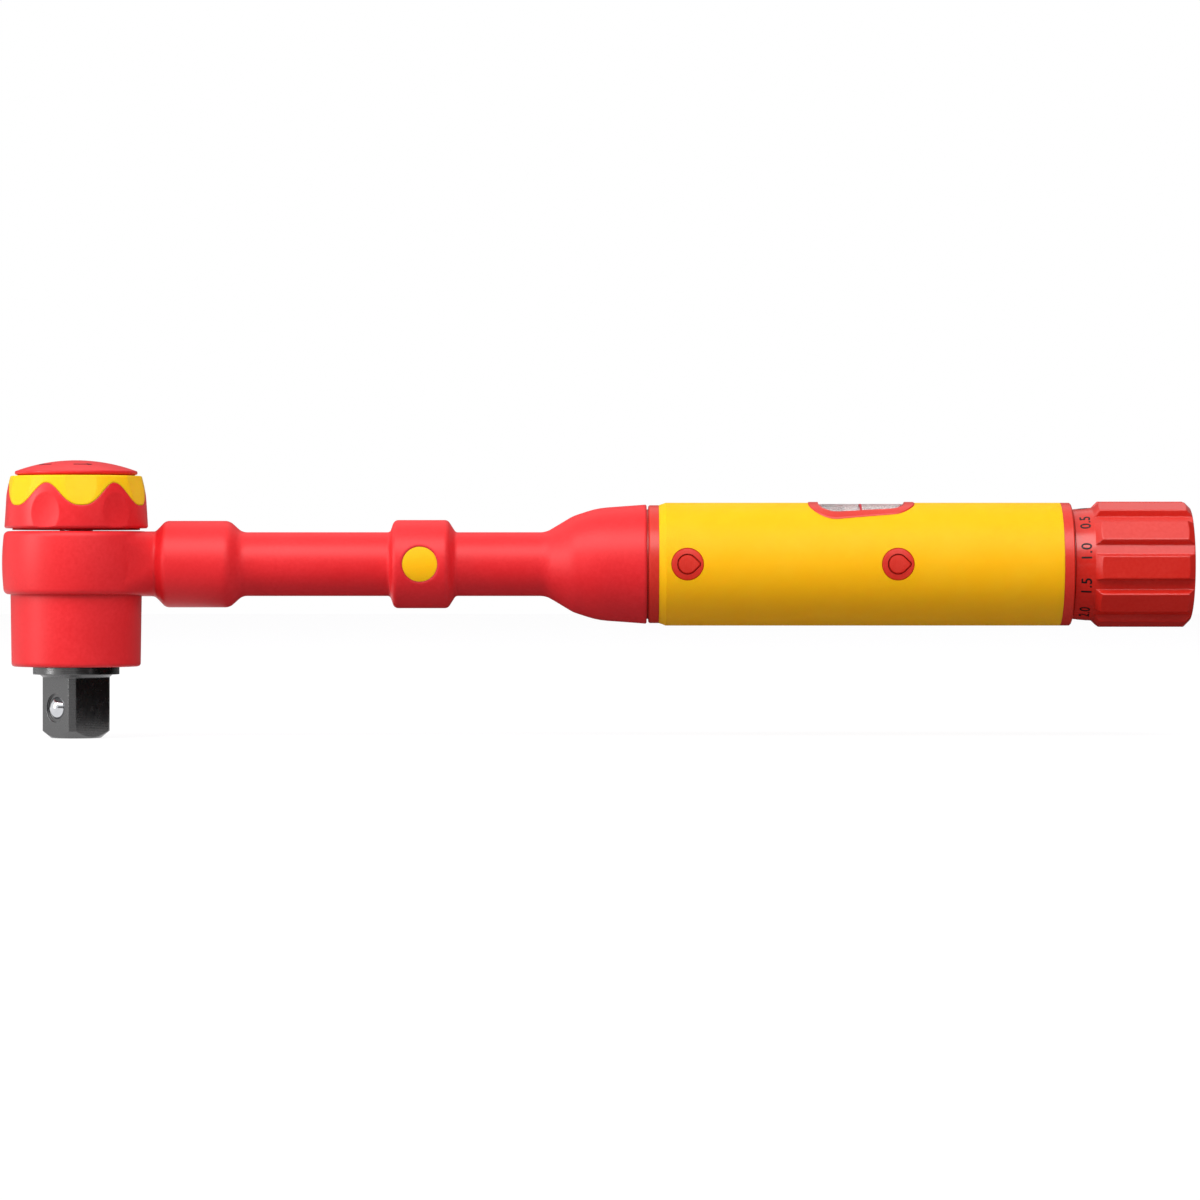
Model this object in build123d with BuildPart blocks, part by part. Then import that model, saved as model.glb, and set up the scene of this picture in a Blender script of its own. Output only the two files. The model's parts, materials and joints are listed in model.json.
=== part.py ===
from build123d import *

import os
from math import acos, atan2, cos, degrees, pi, radians, sin, sqrt

# Insulated click-type torque wrench with a half-inch square drive.
# Millimetres. X runs along the handle from the head to the knob, Z along the drive.
# The origin is the centre of the square drive's tip face, and the drive points down.

# Square drive and its distance to the handle
DRIVE_SQUARE = 12.7
DRIVE_CORNERS = 16.2
DRIVE_LENGTH = 14.7
DRIVE_TIP_CHAMFER = 1.7
DRIVE_TURN = 44.0
HANDLE_Z = 42.1

# Clearances
BOND = 0.04
PRESS = 0.04
RUN = 0.05
GAP = 0.3

# Head, heights counted from the handle's axis
DRUM_RADIUS = 17.9
DRUM_BARREL = 0.5
DRUM_TOP = 8.0
DRUM_BOTTOM = -7.3
DRUM_ROUND = 1.3
SKIRT_SET_IN = 2.05
SKIRT_DRAFT = 0.25
SKIRT_BOTTOM = -24.8
SKIRT_ROUND = 0.8
HEAD_WALL = 2.0
SKIRT_WALL = 2.3
HEAD_FLOOR = -4.0
HEAD_FLOOR_WALL = 3.0
HEAD_STEEL_TOP = 7.0

# Neck, bell and the steel lever inside them, places along the handle
NECK_RADIUS = 7.95
SHANK_RADIUS = 7.74
NECK_CORE_RADIUS = 7.8
NECK_CORE_START = 15.0
FLARE_END = 20.0
FLARE_PLACES = (6.0, 9.5, 13.0, 16.5)
FLARE_WIDTHS = (32.2, 29.5, 24.2, 19.0)
FLARE_DROPS = (0.0, 0.0, 0.1, 0.35)
FLARE_CORNERS = (1.6, 1.8, 2.8, 5.0)
FLARE_SET_IN = 0.08
GUARD_RADIUS = 10.5
GUARD_START = 19.2
GUARD_END = 40.3
GUARD_FRONT_RAMP = 2.6
GUARD_REAR_RAMP = 3.0
GUARD_FRONT_ROUND = 1.9
GUARD_REAR_ROUND = 3.0
COLLAR_RADIUS = 10.7
COLLAR_START = 76.2
COLLAR_END = 92.1
COLLAR_FRONT_RAMP = 1.0
COLLAR_REAR_RAMP = 1.9
COLLAR_ROUND = 1.4
COLLAR_ROOT_ROUND = 0.9
BELL_START = 114.0
BELL_LENGTH = 24.38
BELL_SET_IN = 0.45
BELL_FLARE = 6.6
BELL_FLARE_DROP = 2.75
BELL_SHOULDER = 12.5
BELL_SHOULDER_DROP = 0.85
BELL_ROUND = 5.0
BELL_EDGE = 0.25
BELL_LIP = 0.75
BELL_MOUTH = 1.4
LEVER_RADIUS = 5.6
LEVER_BOSS_PLAY = 0.8
LEVER_CONE = 7.0
EYE_PLAY = 0.42
EYE_HEIGHT = 11.0
TAIL_WIDTH = 8.4
TAIL_HEIGHT = 9.6
TAIL_LENGTH = 15.5
BLOCK_POCKET = 0.6
BLOCK_PLAY = 0.35

# Marker plugs in the collar
MARKER_RADIUS = 4.2
MARKER_DEPTH = 1.6

# Drive spindle, its bush and the wheel
SPINDLE_COLLAR_RADIUS = 10.45
SPINDLE_COLLAR_HEIGHT = 1.9
SPINDLE_NECK_RADIUS = 8.9
SPINDLE_RADIUS = 7.0
SPINDLE_HEX = 10.6
SPINDLE_TOP = 2.5
SPINDLE_END_RADIUS = 5.2
WHEEL_TEETH = 36
WHEEL_TIP_RADIUS = 9.6
WHEEL_TOOTH_DEPTH = 0.85
WHEEL_TOOTH_TOP = 0.35
WHEEL_TOOTH_BASE = 1.25
WHEEL_BOTTOM = -3.8
WHEEL_HEIGHT = 5.0
TOOTH_PLAY = 0.08
CIRCLIP_HEIGHT = 0.7
CIRCLIP_DEPTH = 0.7
CIRCLIP_RADIUS = 6.4
CIRCLIP_OPENING = 3.0
BALL_RADIUS = 3.0
BALL_PROUD = 1.0
BALL_HEIGHT = 7.3
BALL_HOLE_DEPTH = 9.0
BALL_SINK_RADIUS = 3.5
BALL_SINK_DEPTH = 0.5
BALL_SPRING_RADIUS = 2.5
BALL_SPRING_WIRE = 0.55
BALL_SPRING_TURNS = 3

# Pawls, selector and cover
PAWL_PIVOT_OUT = 2.8
PAWL_TIP_ANGLE = 20.0
PAWL_EYE_RADIUS = 1.95
PAWL_NOSE_RADIUS = 1.25
PAWL_HEIGHT = 5.0
PAWL_STEP = 0.1
PAWL_PIN_RADIUS = 1.1
PAWL_LIFT = 8.0
PAWL_STUD_RADIUS = 0.6
PAWL_STUD_DISTANCE = 4.2
PAWL_NOSE_LEAD = 1.0
PAWL_TOOTH_BURY = 0.6
PAWL_TIP_PLAY = 0.25
PAWL_PIN_DEPTH = 1.5
PAWL_PIN_TOP = 2.5
PAWL_TOOTH_ROOT_PLAY = 0.2
SELECTOR_ANGLE = 40.0
SELECTOR_SEAT_WALL = 1.1
SELECTOR_BOTTOM = 2.95
SELECTOR_THICKNESS = 1.4
SELECTOR_SHAFT_RADIUS = 4.0
SELECTOR_SQUARE = 5.5
SELECTOR_SHAFT_TOP = 13.8
CHAMBER_BOTTOM = 2.75
COVER_SEAT_WALL = 1.7
COVER_BOTTOM = 4.6
COVER_THICKNESS = 1.0
COVER_RING_HEIGHT = 0.7
COVER_RING_DEPTH = 0.7
COVER_RING_WIDTH = 2.2
COVER_RING_OPENING = 6.0
PAWL_SPRING_RADIUS = 1.75
PAWL_SPRING_WIRE = 0.5
PAWL_SPRING_HEIGHT = 1.0

# Reversing dial
DIAL_BOTTOM = 8.7
DIAL_TOP = 21.4
DIAL_SET_IN = 0.5
DIAL_TAPER = 1.55
DIAL_BULGE = 0.45
DIAL_NECK_SET_IN = 2.0
DIAL_NECK_BOTTOM = 8.3
DIAL_BEVEL = 0.4
DIAL_WALL = 4.4
DIAL_CAVITY_TOP = 13.6
DIAL_HUB_RADIUS = 6.5
DIAL_RIM_WALL = 3.65
DIAL_RECESS_BOTTOM = 16.2
BAND_THICKNESS = 2.4
WAVE_COUNT = 6
WAVE_HIGH = 19.6
WAVE_LOW = 14.2
WAVE_PHASE = -19.9
WAVE_POINTS = 12
WAVE_NARROWING = 1.35
DIMPLE_RADIUS = 36.0
DIMPLE_DEPTH = 0.43
DIMPLE_HEIGHT = 14.6
FACET_DEPTH = 0.45
FACET_TILT = 13.6
FACET_WIDTH = 14.0
FACET_HEIGHT = 12.0
CAP_SET_IN = 1.05
CAP_LIP = 0.6
CAP_LIP_BOTTOM = 21.7
CAP_LIP_TOP = 22.5
CAP_TOP = 25.2
CAP_SPIGOT = 2.4
CAP_ROUND = 0.3
DIAL_SCREW_RADIUS = 1.5
DIAL_SCREW_HEAD_RADIUS = 2.9
DIAL_SCREW_HEAD = 1.8
DIAL_SCREW_LENGTH = 6.0
DIAL_SCREW_SOCKET = 2.5
DIAL_SCREW_SOCKET_DEPTH = 1.0

# Grip
GRIP_RADIUS = 14.9
GRIP_LENGTH = 102.3
GRIP_SEAM = 0.42
SPIGOT_LENGTH = 0.8
SPIGOT_PLAY = 0.4
TUBE_WALL = 1.5
TUBE_INSET = 1.5
TUBE_TAIL = 9.6
SLEEVE_WALL = 2.1
SLEEVE_FRONT_SET_IN = 0.6
SLEEVE_RING = 2.5
SLEEVE_CHAMFER = 0.3
GRIP_COVER_WALL = 1.5
COVER_RISE = 1.7
BOSS_INSET = 9.3
BOSS_SPACING = 50.5
BOSS_RADIUS = 3.9
BOSS_EDGE = 0.25
PLUG_RADIUS = 2.3
PLUG_PLAY = 0.2
PLUG_POINT = 3.05
PLUG_EDGE = 0.25
PLUG_POINT_RADIUS = 0.5
PLUG_DEPTH = 1.6
PLUG_SINK = 0.15
SCREW_RADIUS = 1.4
SCREW_TIP_INSET = 0.1
SCREW_SEAT_WALL = 0.7
SCREW_HEAD_RADIUS = 2.2
SCREW_HEAD_HEIGHT = 1.1

# Scale window
WINDOW_INSET = 38.7
WINDOW_LENGTH = 25.7
WINDOW_FRONT_WIDTH = 21.7
WINDOW_REAR_WIDTH = 16.6
WINDOW_FRONT_ROUND = 6.5
WINDOW_REAR_ROUND = 6.0
FRAME_WALL = 2.0
FRAME_END_WALL = 2.4
FRAME_EDGE = 0.2
FRAME_PROUD = 0.2
LENS_SINK = 0.3
LENS_THICKNESS = 2.0
LENS_LEDGE = 1.0
SCALE_SLOT_WIDTH = 13.0

# Click mechanism
PIVOT_INSET = 7.1
PIVOT_PIN_RADIUS = 2.5
BLOCK_LENGTH = 6.0
BLOCK_WIDTH = 5.0
BLOCK_HEIGHT = 7.0
BLOCK_CHAMFER = 0.3
PLUNGER_LAND = 5.7
PLUNGER_SHOULDER = 3.0
PLUNGER_GUIDE_PLAY = 0.4
PLUNGER_GUIDE = 5.0
SPRING_PLAY = 0.5
SPRING_LENGTH = 28.15
SPRING_BORE_PLAY = 0.7
SPRING_WIRE_WIDTH = 2.6
SPRING_TURNS = 5
WASHER_THICKNESS = 1.0

# Setting mechanism
THREAD_LEAD = 1.5
SETTING_TURNS = 9
NUT_LENGTH = 8.0
NUT_KEY_WIDTH = 3.0
KEY_PLAY = 0.15
NUT_KEY_SET_IN = 0.4
CARRIER_LEAD = 18.2
CARRIER_PLAY = 0.2
CARRIER_WALL = 0.8
SETTER_RADIUS = 5.0
SETTER_FLANGE_RADIUS = 8.2
SETTER_FLANGE = 3.0
SETTER_SQUARE = 7.0
END_BUSH_LENGTH = 19.0

# Knob
KNOB_LENGTH = 28.7
KNOB_NECK_LENGTH = 4.8
KNOB_NECK_TAPER = 0.4
KNOB_LANDS = 10
KNOB_LAND_PROUD = 0.15
KNOB_LAND_WIDTH = 5.5
KNOB_GROOVE_DROP = 1.35
KNOB_GROOVE_WIDTH = 2.4
KNOB_CHAMFER = 1.7
KNOB_ROUND = 0.3
KNOB_END_ROUND = 0.8
KNOB_PHASE = 3.0
KNOB_BORE_PLAY = 0.7
KNOB_WALL = 9.2
KNOB_END_PLAY = 0.8
KNOB_RECESS_RADIUS = 9.8
KNOB_CAP_THICKNESS = 2.0
KNOB_CAP_SINK = 0.4
SEAL_INSET = 5.9
SEAL_SECTION = 0.7
KNOB_SCREW_RADIUS = 2.0
KNOB_SCREW_HEAD_RADIUS = 5.6
KNOB_SCREW_HEAD = 2.6
KNOB_SCREW_LENGTH = 8.0
KNOB_SCREW_SOCKET = 5.0
KNOB_SCREW_SOCKET_DEPTH = 1.5

# Radii worked out from the sizes above
HEAD_STEEL_RADIUS = DRUM_RADIUS - HEAD_WALL
SKIRT_RADIUS = DRUM_RADIUS - SKIRT_SET_IN
BUSH_RADIUS = SKIRT_RADIUS - SKIRT_DRAFT - SKIRT_WALL
COVER_RADIUS = HEAD_STEEL_RADIUS - COVER_SEAT_WALL
SELECTOR_RADIUS = COVER_RADIUS - SELECTOR_SEAT_WALL
DIAL_RADIUS = DRUM_RADIUS - DIAL_SET_IN
DIAL_SHOULDER_RADIUS = DIAL_RADIUS - DIAL_TAPER
DIAL_NECK_RADIUS = DIAL_RADIUS - DIAL_NECK_SET_IN
DIAL_CAVITY_RADIUS = DIAL_RADIUS - DIAL_WALL
DIAL_RECESS_RADIUS = DIAL_SHOULDER_RADIUS - DIAL_RIM_WALL
BAND_INNER_RADIUS = DIAL_SHOULDER_RADIUS - BAND_THICKNESS
CAP_RADIUS = DIAL_SHOULDER_RADIUS - CAP_SET_IN
CAP_NECK_RADIUS = CAP_RADIUS - CAP_LIP
SLEEVE_RADIUS = GRIP_RADIUS - GRIP_COVER_WALL
SLEEVE_FRONT_RADIUS = GRIP_RADIUS - SLEEVE_FRONT_SET_IN
TUBE_RADIUS = SLEEVE_RADIUS - SLEEVE_WALL
TUBE_BORE = TUBE_RADIUS - TUBE_WALL
BELL_RADIUS = GRIP_RADIUS - BELL_SET_IN
BELL_MOUTH_RADIUS = BELL_RADIUS - BELL_LIP
SPIGOT_RADIUS = BELL_MOUTH_RADIUS - SPIGOT_PLAY
FRAME_RADIUS = GRIP_RADIUS + FRAME_PROUD
LENS_RADIUS = GRIP_RADIUS - LENS_SINK
LENS_SEAT_RADIUS = LENS_RADIUS - LENS_THICKNESS
PLUG_TOP = GRIP_RADIUS - PLUG_SINK
PLUG_BOTTOM = GRIP_RADIUS - PLUG_DEPTH
SCREW_TIP = TUBE_BORE + SCREW_TIP_INSET
SCREW_SEAT = TUBE_RADIUS + SCREW_SEAT_WALL
LEVER_BOSS_RADIUS = TUBE_BORE - LEVER_BOSS_PLAY
EYE_WIDTH = 2 * sqrt((TUBE_BORE - EYE_PLAY) ** 2 - EYE_HEIGHT**2 / 4)
CARRIER_RADIUS = TUBE_BORE - CARRIER_PLAY
SPRING_RADIUS = CARRIER_RADIUS - CARRIER_WALL - SPRING_PLAY
SPRING_WIRE_DEPTH = SPRING_RADIUS - SETTER_RADIUS - SPRING_BORE_PLAY
PLUNGER_GUIDE_RADIUS = SPRING_RADIUS - SPRING_WIRE_DEPTH - PLUNGER_GUIDE_PLAY
NUT_KEY_RADIUS = TUBE_RADIUS - NUT_KEY_SET_IN
KNOB_LAND_RADIUS = GRIP_RADIUS + KNOB_LAND_PROUD
KNOB_OUTER_RADIUS = sqrt(KNOB_LAND_RADIUS**2 + (KNOB_LAND_WIDTH / 2) ** 2)
KNOB_GROOVE_RADIUS = KNOB_LAND_RADIUS - KNOB_GROOVE_DROP
KNOB_NECK_RADIUS = KNOB_GROOVE_RADIUS - KNOB_NECK_TAPER
KNOB_BORE = TUBE_RADIUS + KNOB_BORE_PLAY
KNOB_GROOVE_ANGLE = KNOB_PHASE + 180 / KNOB_LANDS
KNOB_EDGE_RADIUS = KNOB_LAND_RADIUS * cos(pi / KNOB_LANDS) + KNOB_LAND_WIDTH / 2 * sin(pi / KNOB_LANDS)
KNOB_EDGE_WIDTH = 2 * KNOB_LAND_RADIUS * sin(pi / KNOB_LANDS) - KNOB_LAND_WIDTH * cos(pi / KNOB_LANDS)
KNOB_GROOVE_DEPTH = KNOB_EDGE_RADIUS - KNOB_GROOVE_RADIUS
SEAL_RADIUS = KNOB_BORE - RUN - SEAL_SECTION

# Heights in the head, worked out from the sizes above
HEAD_STEEL_BOTTOM = HEAD_FLOOR - HEAD_FLOOR_WALL
COLLAR_BOTTOM = SKIRT_BOTTOM - SPINDLE_COLLAR_HEIGHT
TIP_LEVEL = -HANDLE_Z
WHEEL_TOP = WHEEL_BOTTOM + WHEEL_HEIGHT
PAWL_BOTTOM = WHEEL_BOTTOM + PAWL_STEP
PAWL_TOP = PAWL_BOTTOM + PAWL_HEIGHT
SELECTOR_TOP = SELECTOR_BOTTOM + SELECTOR_THICKNESS
COVER_TOP = COVER_BOTTOM + COVER_THICKNESS
HUMP_ANGLE = WAVE_PHASE - 90
DIMPLE_CENTRE = (DIAL_RADIUS + DIAL_SHOULDER_RADIUS) / 2 + DIAL_BULGE + DIMPLE_RADIUS - DIMPLE_DEPTH

# The wheel's mesh with the pawls
WHEEL_ROOT_RADIUS = WHEEL_TIP_RADIUS - WHEEL_TOOTH_DEPTH
TOOTH_MID_RADIUS = (WHEEL_TIP_RADIUS + WHEEL_ROOT_RADIUS) / 2
PAWL_PIVOT_RADIUS = WHEEL_TIP_RADIUS + PAWL_PIVOT_OUT
PAWL_PIVOT_ANGLE = PAWL_TIP_ANGLE + degrees(acos(TOOTH_MID_RADIUS / PAWL_PIVOT_RADIUS))
PAWL_NOSE_DISTANCE = WHEEL_TIP_RADIUS + PAWL_NOSE_RADIUS

# The ball in the square
BALL_ANGLE = DRIVE_TURN - 180
BALL_CENTRE = DRIVE_SQUARE / 2 + BALL_PROUD - BALL_RADIUS
BALL_PLANE = Plane(
    origin=(0, 0, BALL_HEIGHT),
    x_dir=(0, 0, 1),
    z_dir=(cos(radians(BALL_ANGLE)), sin(radians(BALL_ANGLE)), 0),
)
BALL_SPRING_START = DRIVE_SQUARE / 2 - BALL_HOLE_DEPTH + RUN
BALL_SPRING_RIM = BALL_SPRING_RADIUS - BALL_SPRING_WIRE
BALL_SPRING_LENGTH = BALL_CENTRE - sqrt(BALL_RADIUS**2 - BALL_SPRING_RIM**2) - RUN - BALL_SPRING_START

# Places along the handle, worked out from the sizes above
HANDLE_AXIS = Axis((0, 0, HANDLE_Z), (1, 0, 0))
MARKER_X = (COLLAR_START + COLLAR_FRONT_RAMP + COLLAR_END - COLLAR_REAR_RAMP) / 2
BELL_END = BELL_START + BELL_LENGTH
SLEEVE_START = BELL_END + GRIP_SEAM
SLEEVE_END = SLEEVE_START + GRIP_LENGTH
TUBE_START = SLEEVE_START + TUBE_INSET
TUBE_END = SLEEVE_END + TUBE_TAIL
LEVER_CONE_START = BELL_START + LEVER_CONE
LEVER_CONE_END = LEVER_CONE_START + LEVER_CONE
LEVER_BOSS_END = TUBE_START - GAP
PIVOT_X = SLEEVE_START + PIVOT_INSET
TAIL_END = PIVOT_X + TAIL_LENGTH
BOSS_FRONT_X = SLEEVE_START + BOSS_INSET
BOSS_REAR_X = BOSS_FRONT_X + BOSS_SPACING
WINDOW_FRONT = SLEEVE_START + WINDOW_INSET
WINDOW_REAR = WINDOW_FRONT + WINDOW_LENGTH
LENS_FRONT = WINDOW_FRONT + FRAME_END_WALL
LENS_REAR = WINDOW_REAR - FRAME_END_WALL
BLOCK_START = TAIL_END - BLOCK_POCKET + GAP
BLOCK_END = BLOCK_START + BLOCK_LENGTH
PLUNGER_FRONT = BLOCK_END + GAP - BLOCK_POCKET
PLUNGER_LAND_END = PLUNGER_FRONT + PLUNGER_LAND
SPRING_SEAT = PLUNGER_LAND_END + PLUNGER_SHOULDER
WASHER_START = SPRING_SEAT + SPRING_LENGTH + 2 * RUN
NUT_START = WASHER_START + WASHER_THICKNESS + RUN
SETTING_TRAVEL = THREAD_LEAD * SETTING_TURNS
CARRIER_START = NUT_START - CARRIER_LEAD
CARRIER_END = NUT_START + NUT_LENGTH
SETTER_START = NUT_START - SETTING_TRAVEL + GAP
BUSH_START = TUBE_END - END_BUSH_LENGTH
SETTER_FLANGE_START = BUSH_START - RUN - SETTER_FLANGE
KNOB_START = SLEEVE_END + GAP
KNOB_NECK_END = KNOB_START + KNOB_NECK_LENGTH
KNOB_END = KNOB_START + KNOB_LENGTH
KNOB_WALL_START = TUBE_END + KNOB_END_PLAY
KNOB_WALL_END = KNOB_WALL_START + KNOB_WALL
SEAL_X = KNOB_START + SEAL_INSET

os.makedirs("parts", exist_ok=True)


def level(height):
    """A horizontal plane, its height counted from the handle's axis."""
    return Plane.XY.offset(HANDLE_Z + height)


def outside(edge):
    """How far an edge's middle lies from the handle's axis, to the nearest clearance."""
    middle = edge @ 0.5
    return round(sqrt(middle.Y**2 + (middle.Z - HANDLE_Z) ** 2) / RUN)


def station(x):
    """A plane across the handle, its first axis along Y and its second along Z."""
    return Plane(origin=(x, 0, HANDLE_Z), x_dir=(0, 1, 0), z_dir=(1, 0, 0))


def side_plane():
    """The upright plane through both axes, its second axis counted from the handle's axis."""
    return Plane(origin=(0, 0, HANDLE_Z), x_dir=(1, 0, 0), z_dir=(0, -1, 0))


def far_plane():
    """The same upright plane from the other side, its first axis away from the handle."""
    return Plane(origin=(0, 0, HANDLE_Z), x_dir=(-1, 0, 0), z_dir=(0, 1, 0))


def rod(radius, start, end, mode=Mode.ADD):
    """A round bar along the handle's axis."""
    with Locations(station(start).location):
        Cylinder(radius, end - start, align=(Align.CENTER, Align.CENTER, Align.MIN), mode=mode)


def post(radius, bottom, top, mode=Mode.ADD):
    """A round bar along the drive's axis."""
    with Locations(level(bottom).location):
        Cylinder(radius, top - bottom, align=(Align.CENTER, Align.CENTER, Align.MIN), mode=mode)


def bar(width, height, start, end, mode=Mode.ADD):
    """A rectangular bar along the handle's axis."""
    with Locations(station(start).location):
        Box(width, height, end - start, align=(Align.CENTER, Align.CENTER, Align.MIN), mode=mode)


def on_knob_rim(corner):
    """Whether a corner of the knob's section is an edge between a land and a groove."""
    return Vector(corner.X, corner.Y).length > KNOB_OUTER_RADIUS - GAP


def polar(radius, angle):
    """A point at a radius and an angle from +X."""
    return Vector(radius * cos(radians(angle)), radius * sin(radians(angle)))


def turned(point, centre, angle):
    """A flat point turned round a centre."""
    arm = point - centre
    return centre + arm.rotate(Axis.Z, angle)


PAWL_PIVOT = polar(PAWL_PIVOT_RADIUS, PAWL_PIVOT_ANGLE)
PAWL_NOSE = polar(PAWL_NOSE_DISTANCE, PAWL_TIP_ANGLE + PAWL_NOSE_LEAD)
PAWL_STUD = PAWL_PIVOT + (PAWL_NOSE - PAWL_PIVOT).normalized() * PAWL_STUD_DISTANCE
PAWL_STUD_ANGLE = degrees(atan2(PAWL_NOSE.Y - PAWL_PIVOT.Y, PAWL_NOSE.X - PAWL_PIVOT.X))
LIFTED_NOSE = turned(PAWL_NOSE, PAWL_PIVOT, PAWL_LIFT)
REVERSE_PIVOT = Axis((PAWL_PIVOT.X, -PAWL_PIVOT.Y, 0), (0, 0, 1))


def lever_form(extra):
    """The steel head and lever's outer form, grown by extra for the jacket's cavity."""
    with BuildPart() as form:
        post(HEAD_STEEL_RADIUS + extra, HEAD_STEEL_BOTTOM - extra, HEAD_STEEL_TOP + extra)
        with BuildSketch(side_plane()):
            with BuildLine():
                Polyline(
                    (0, 0),
                    (0, LEVER_RADIUS + extra),
                    (LEVER_CONE_START, LEVER_RADIUS + extra),
                    (LEVER_CONE_END, LEVER_BOSS_RADIUS + extra),
                    (LEVER_BOSS_END, LEVER_BOSS_RADIUS + extra),
                    (LEVER_BOSS_END, 0),
                    close=True,
                )
            make_face()
        revolve(axis=HANDLE_AXIS)
    return form.part


def drum_blank():
    """The jacket's drum and skirt, round about the drive's axis."""
    edge_radius = DRUM_RADIUS - DRUM_BARREL
    drum_middle = (DRUM_TOP + DRUM_BOTTOM) / 2
    with BuildPart() as drum:
        with BuildSketch(far_plane()) as outline:
            with BuildLine():
                Polyline(
                    (edge_radius, DRUM_TOP),
                    (0, DRUM_TOP),
                    (0, SKIRT_BOTTOM),
                    (SKIRT_RADIUS - SKIRT_DRAFT, SKIRT_BOTTOM),
                    (SKIRT_RADIUS, DRUM_BOTTOM),
                    (edge_radius, DRUM_BOTTOM),
                )
                ThreePointArc(
                    (edge_radius, DRUM_BOTTOM), (DRUM_RADIUS, drum_middle), (edge_radius, DRUM_TOP)
                )
            make_face()
            fillet(outline.vertices().filter_by_position(Axis.X, edge_radius - RUN, DRUM_RADIUS), DRUM_ROUND)
            fillet(outline.vertices().group_by(Axis.Y)[0].sort_by(Axis.X)[-1], SKIRT_ROUND)
        revolve(axis=Axis.Z)
    return drum.part


def neck_blank():
    """The jacket's neck, guard, collar and bell, round about the handle's axis."""
    guard_rounds = [GUARD_FRONT_ROUND] * 2 + [GUARD_REAR_ROUND] * 2
    collar_rounds = [COLLAR_ROOT_ROUND, COLLAR_ROUND, COLLAR_ROUND, COLLAR_ROOT_ROUND]
    bell_rounds = [BELL_ROUND, 2 * BELL_ROUND, 4 * BELL_ROUND]
    with BuildPart() as neck:
        with BuildSketch(side_plane()):
            with BuildLine():
                FilletPolyline(
                    (NECK_CORE_START, NECK_CORE_RADIUS),
                    (GUARD_START, NECK_CORE_RADIUS),
                    (GUARD_START + GUARD_FRONT_RAMP, GUARD_RADIUS),
                    (GUARD_END - GUARD_REAR_RAMP, GUARD_RADIUS),
                    (GUARD_END, SHANK_RADIUS),
                    (COLLAR_START, SHANK_RADIUS),
                    (COLLAR_START + COLLAR_FRONT_RAMP, COLLAR_RADIUS),
                    (COLLAR_END - COLLAR_REAR_RAMP, COLLAR_RADIUS),
                    (COLLAR_END, SHANK_RADIUS),
                    (BELL_START, SHANK_RADIUS),
                    (BELL_START + BELL_FLARE, BELL_RADIUS - BELL_FLARE_DROP),
                    (BELL_START + BELL_SHOULDER, BELL_RADIUS - BELL_SHOULDER_DROP),
                    (BELL_END - BELL_EDGE, BELL_RADIUS),
                    radius=guard_rounds + collar_rounds + bell_rounds,
                )
                Polyline(
                    (BELL_END - BELL_EDGE, BELL_RADIUS),
                    (BELL_END, BELL_RADIUS - BELL_EDGE),
                    (BELL_END, 0),
                    (NECK_CORE_START, 0),
                    (NECK_CORE_START, NECK_CORE_RADIUS),
                )
            make_face()
        revolve(axis=HANDLE_AXIS)
    return neck.part


def flare_blank():
    """The blend from the drum's flat band into the round neck."""
    drum_top = DRUM_TOP - FLARE_SET_IN
    drum_bottom = DRUM_BOTTOM + FLARE_SET_IN
    with BuildPart() as flare:
        for place, width, drop, corner in zip(FLARE_PLACES, FLARE_WIDTHS, FLARE_DROPS, FLARE_CORNERS):
            height = drum_top - drum_bottom + drop
            with BuildSketch(station(place)):
                with Locations((0, drum_top - height / 2)):
                    RectangleRounded(width, height, corner)
        with BuildSketch(station(FLARE_END)):
            RectangleRounded(2 * NECK_RADIUS + RUN, 2 * NECK_RADIUS + RUN, NECK_RADIUS)
        loft()
    return flare.part


def marker_form(extra, outer):
    """The two round plugs in the collar out to a radius, grown by extra for their seats."""
    inner = COLLAR_RADIUS - MARKER_DEPTH - extra
    with BuildPart() as plugs:
        rod(outer, COLLAR_START + COLLAR_FRONT_RAMP, COLLAR_END - COLLAR_REAR_RAMP)
        with BuildSketch(Plane.XZ):
            with Locations((MARKER_X, HANDLE_Z)):
                Circle(MARKER_RADIUS + extra)
        extrude(amount=outer, both=True, mode=Mode.INTERSECT)
        with Locations((MARKER_X, 0, HANDLE_Z)):
            Box(COLLAR_RADIUS, 2 * inner, 2 * COLLAR_RADIUS, mode=Mode.SUBTRACT)
    return plugs.part


def coil(radius, depth, width, length, turns):
    """A spring of rectangular wire along +Z, its ends ground flat at 0 and at its length."""
    middle = radius - depth / 2
    with BuildPart() as spring:
        with BuildLine() as path:
            Helix((length - width) / turns, length, middle)
        start = path.line @ 0
        with BuildSketch(Plane(origin=start, x_dir=(1, 0, 0), z_dir=path.line % 0)):
            Rectangle(depth, width)
        sweep(path=path.line, is_frenet=True)
        with Locations((0, 0, length / 2)):
            Cylinder(radius + depth, length, mode=Mode.INTERSECT)
    return spring.part


def cross_rods(radius, inner, outer):
    """Four round bars out of the handle's sides, two at each pair of screws."""
    places = [
        Plane(origin=(x, side * inner, HANDLE_Z), x_dir=(1, 0, 0), z_dir=(0, side, 0)).location
        for x in (BOSS_FRONT_X, BOSS_REAR_X)
        for side in (-1, 1)
    ]
    with BuildPart() as rods:
        with Locations(*places):
            Cylinder(radius, outer - inner, align=(Align.CENTER, Align.CENTER, Align.MIN))
    return rods.part


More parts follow.
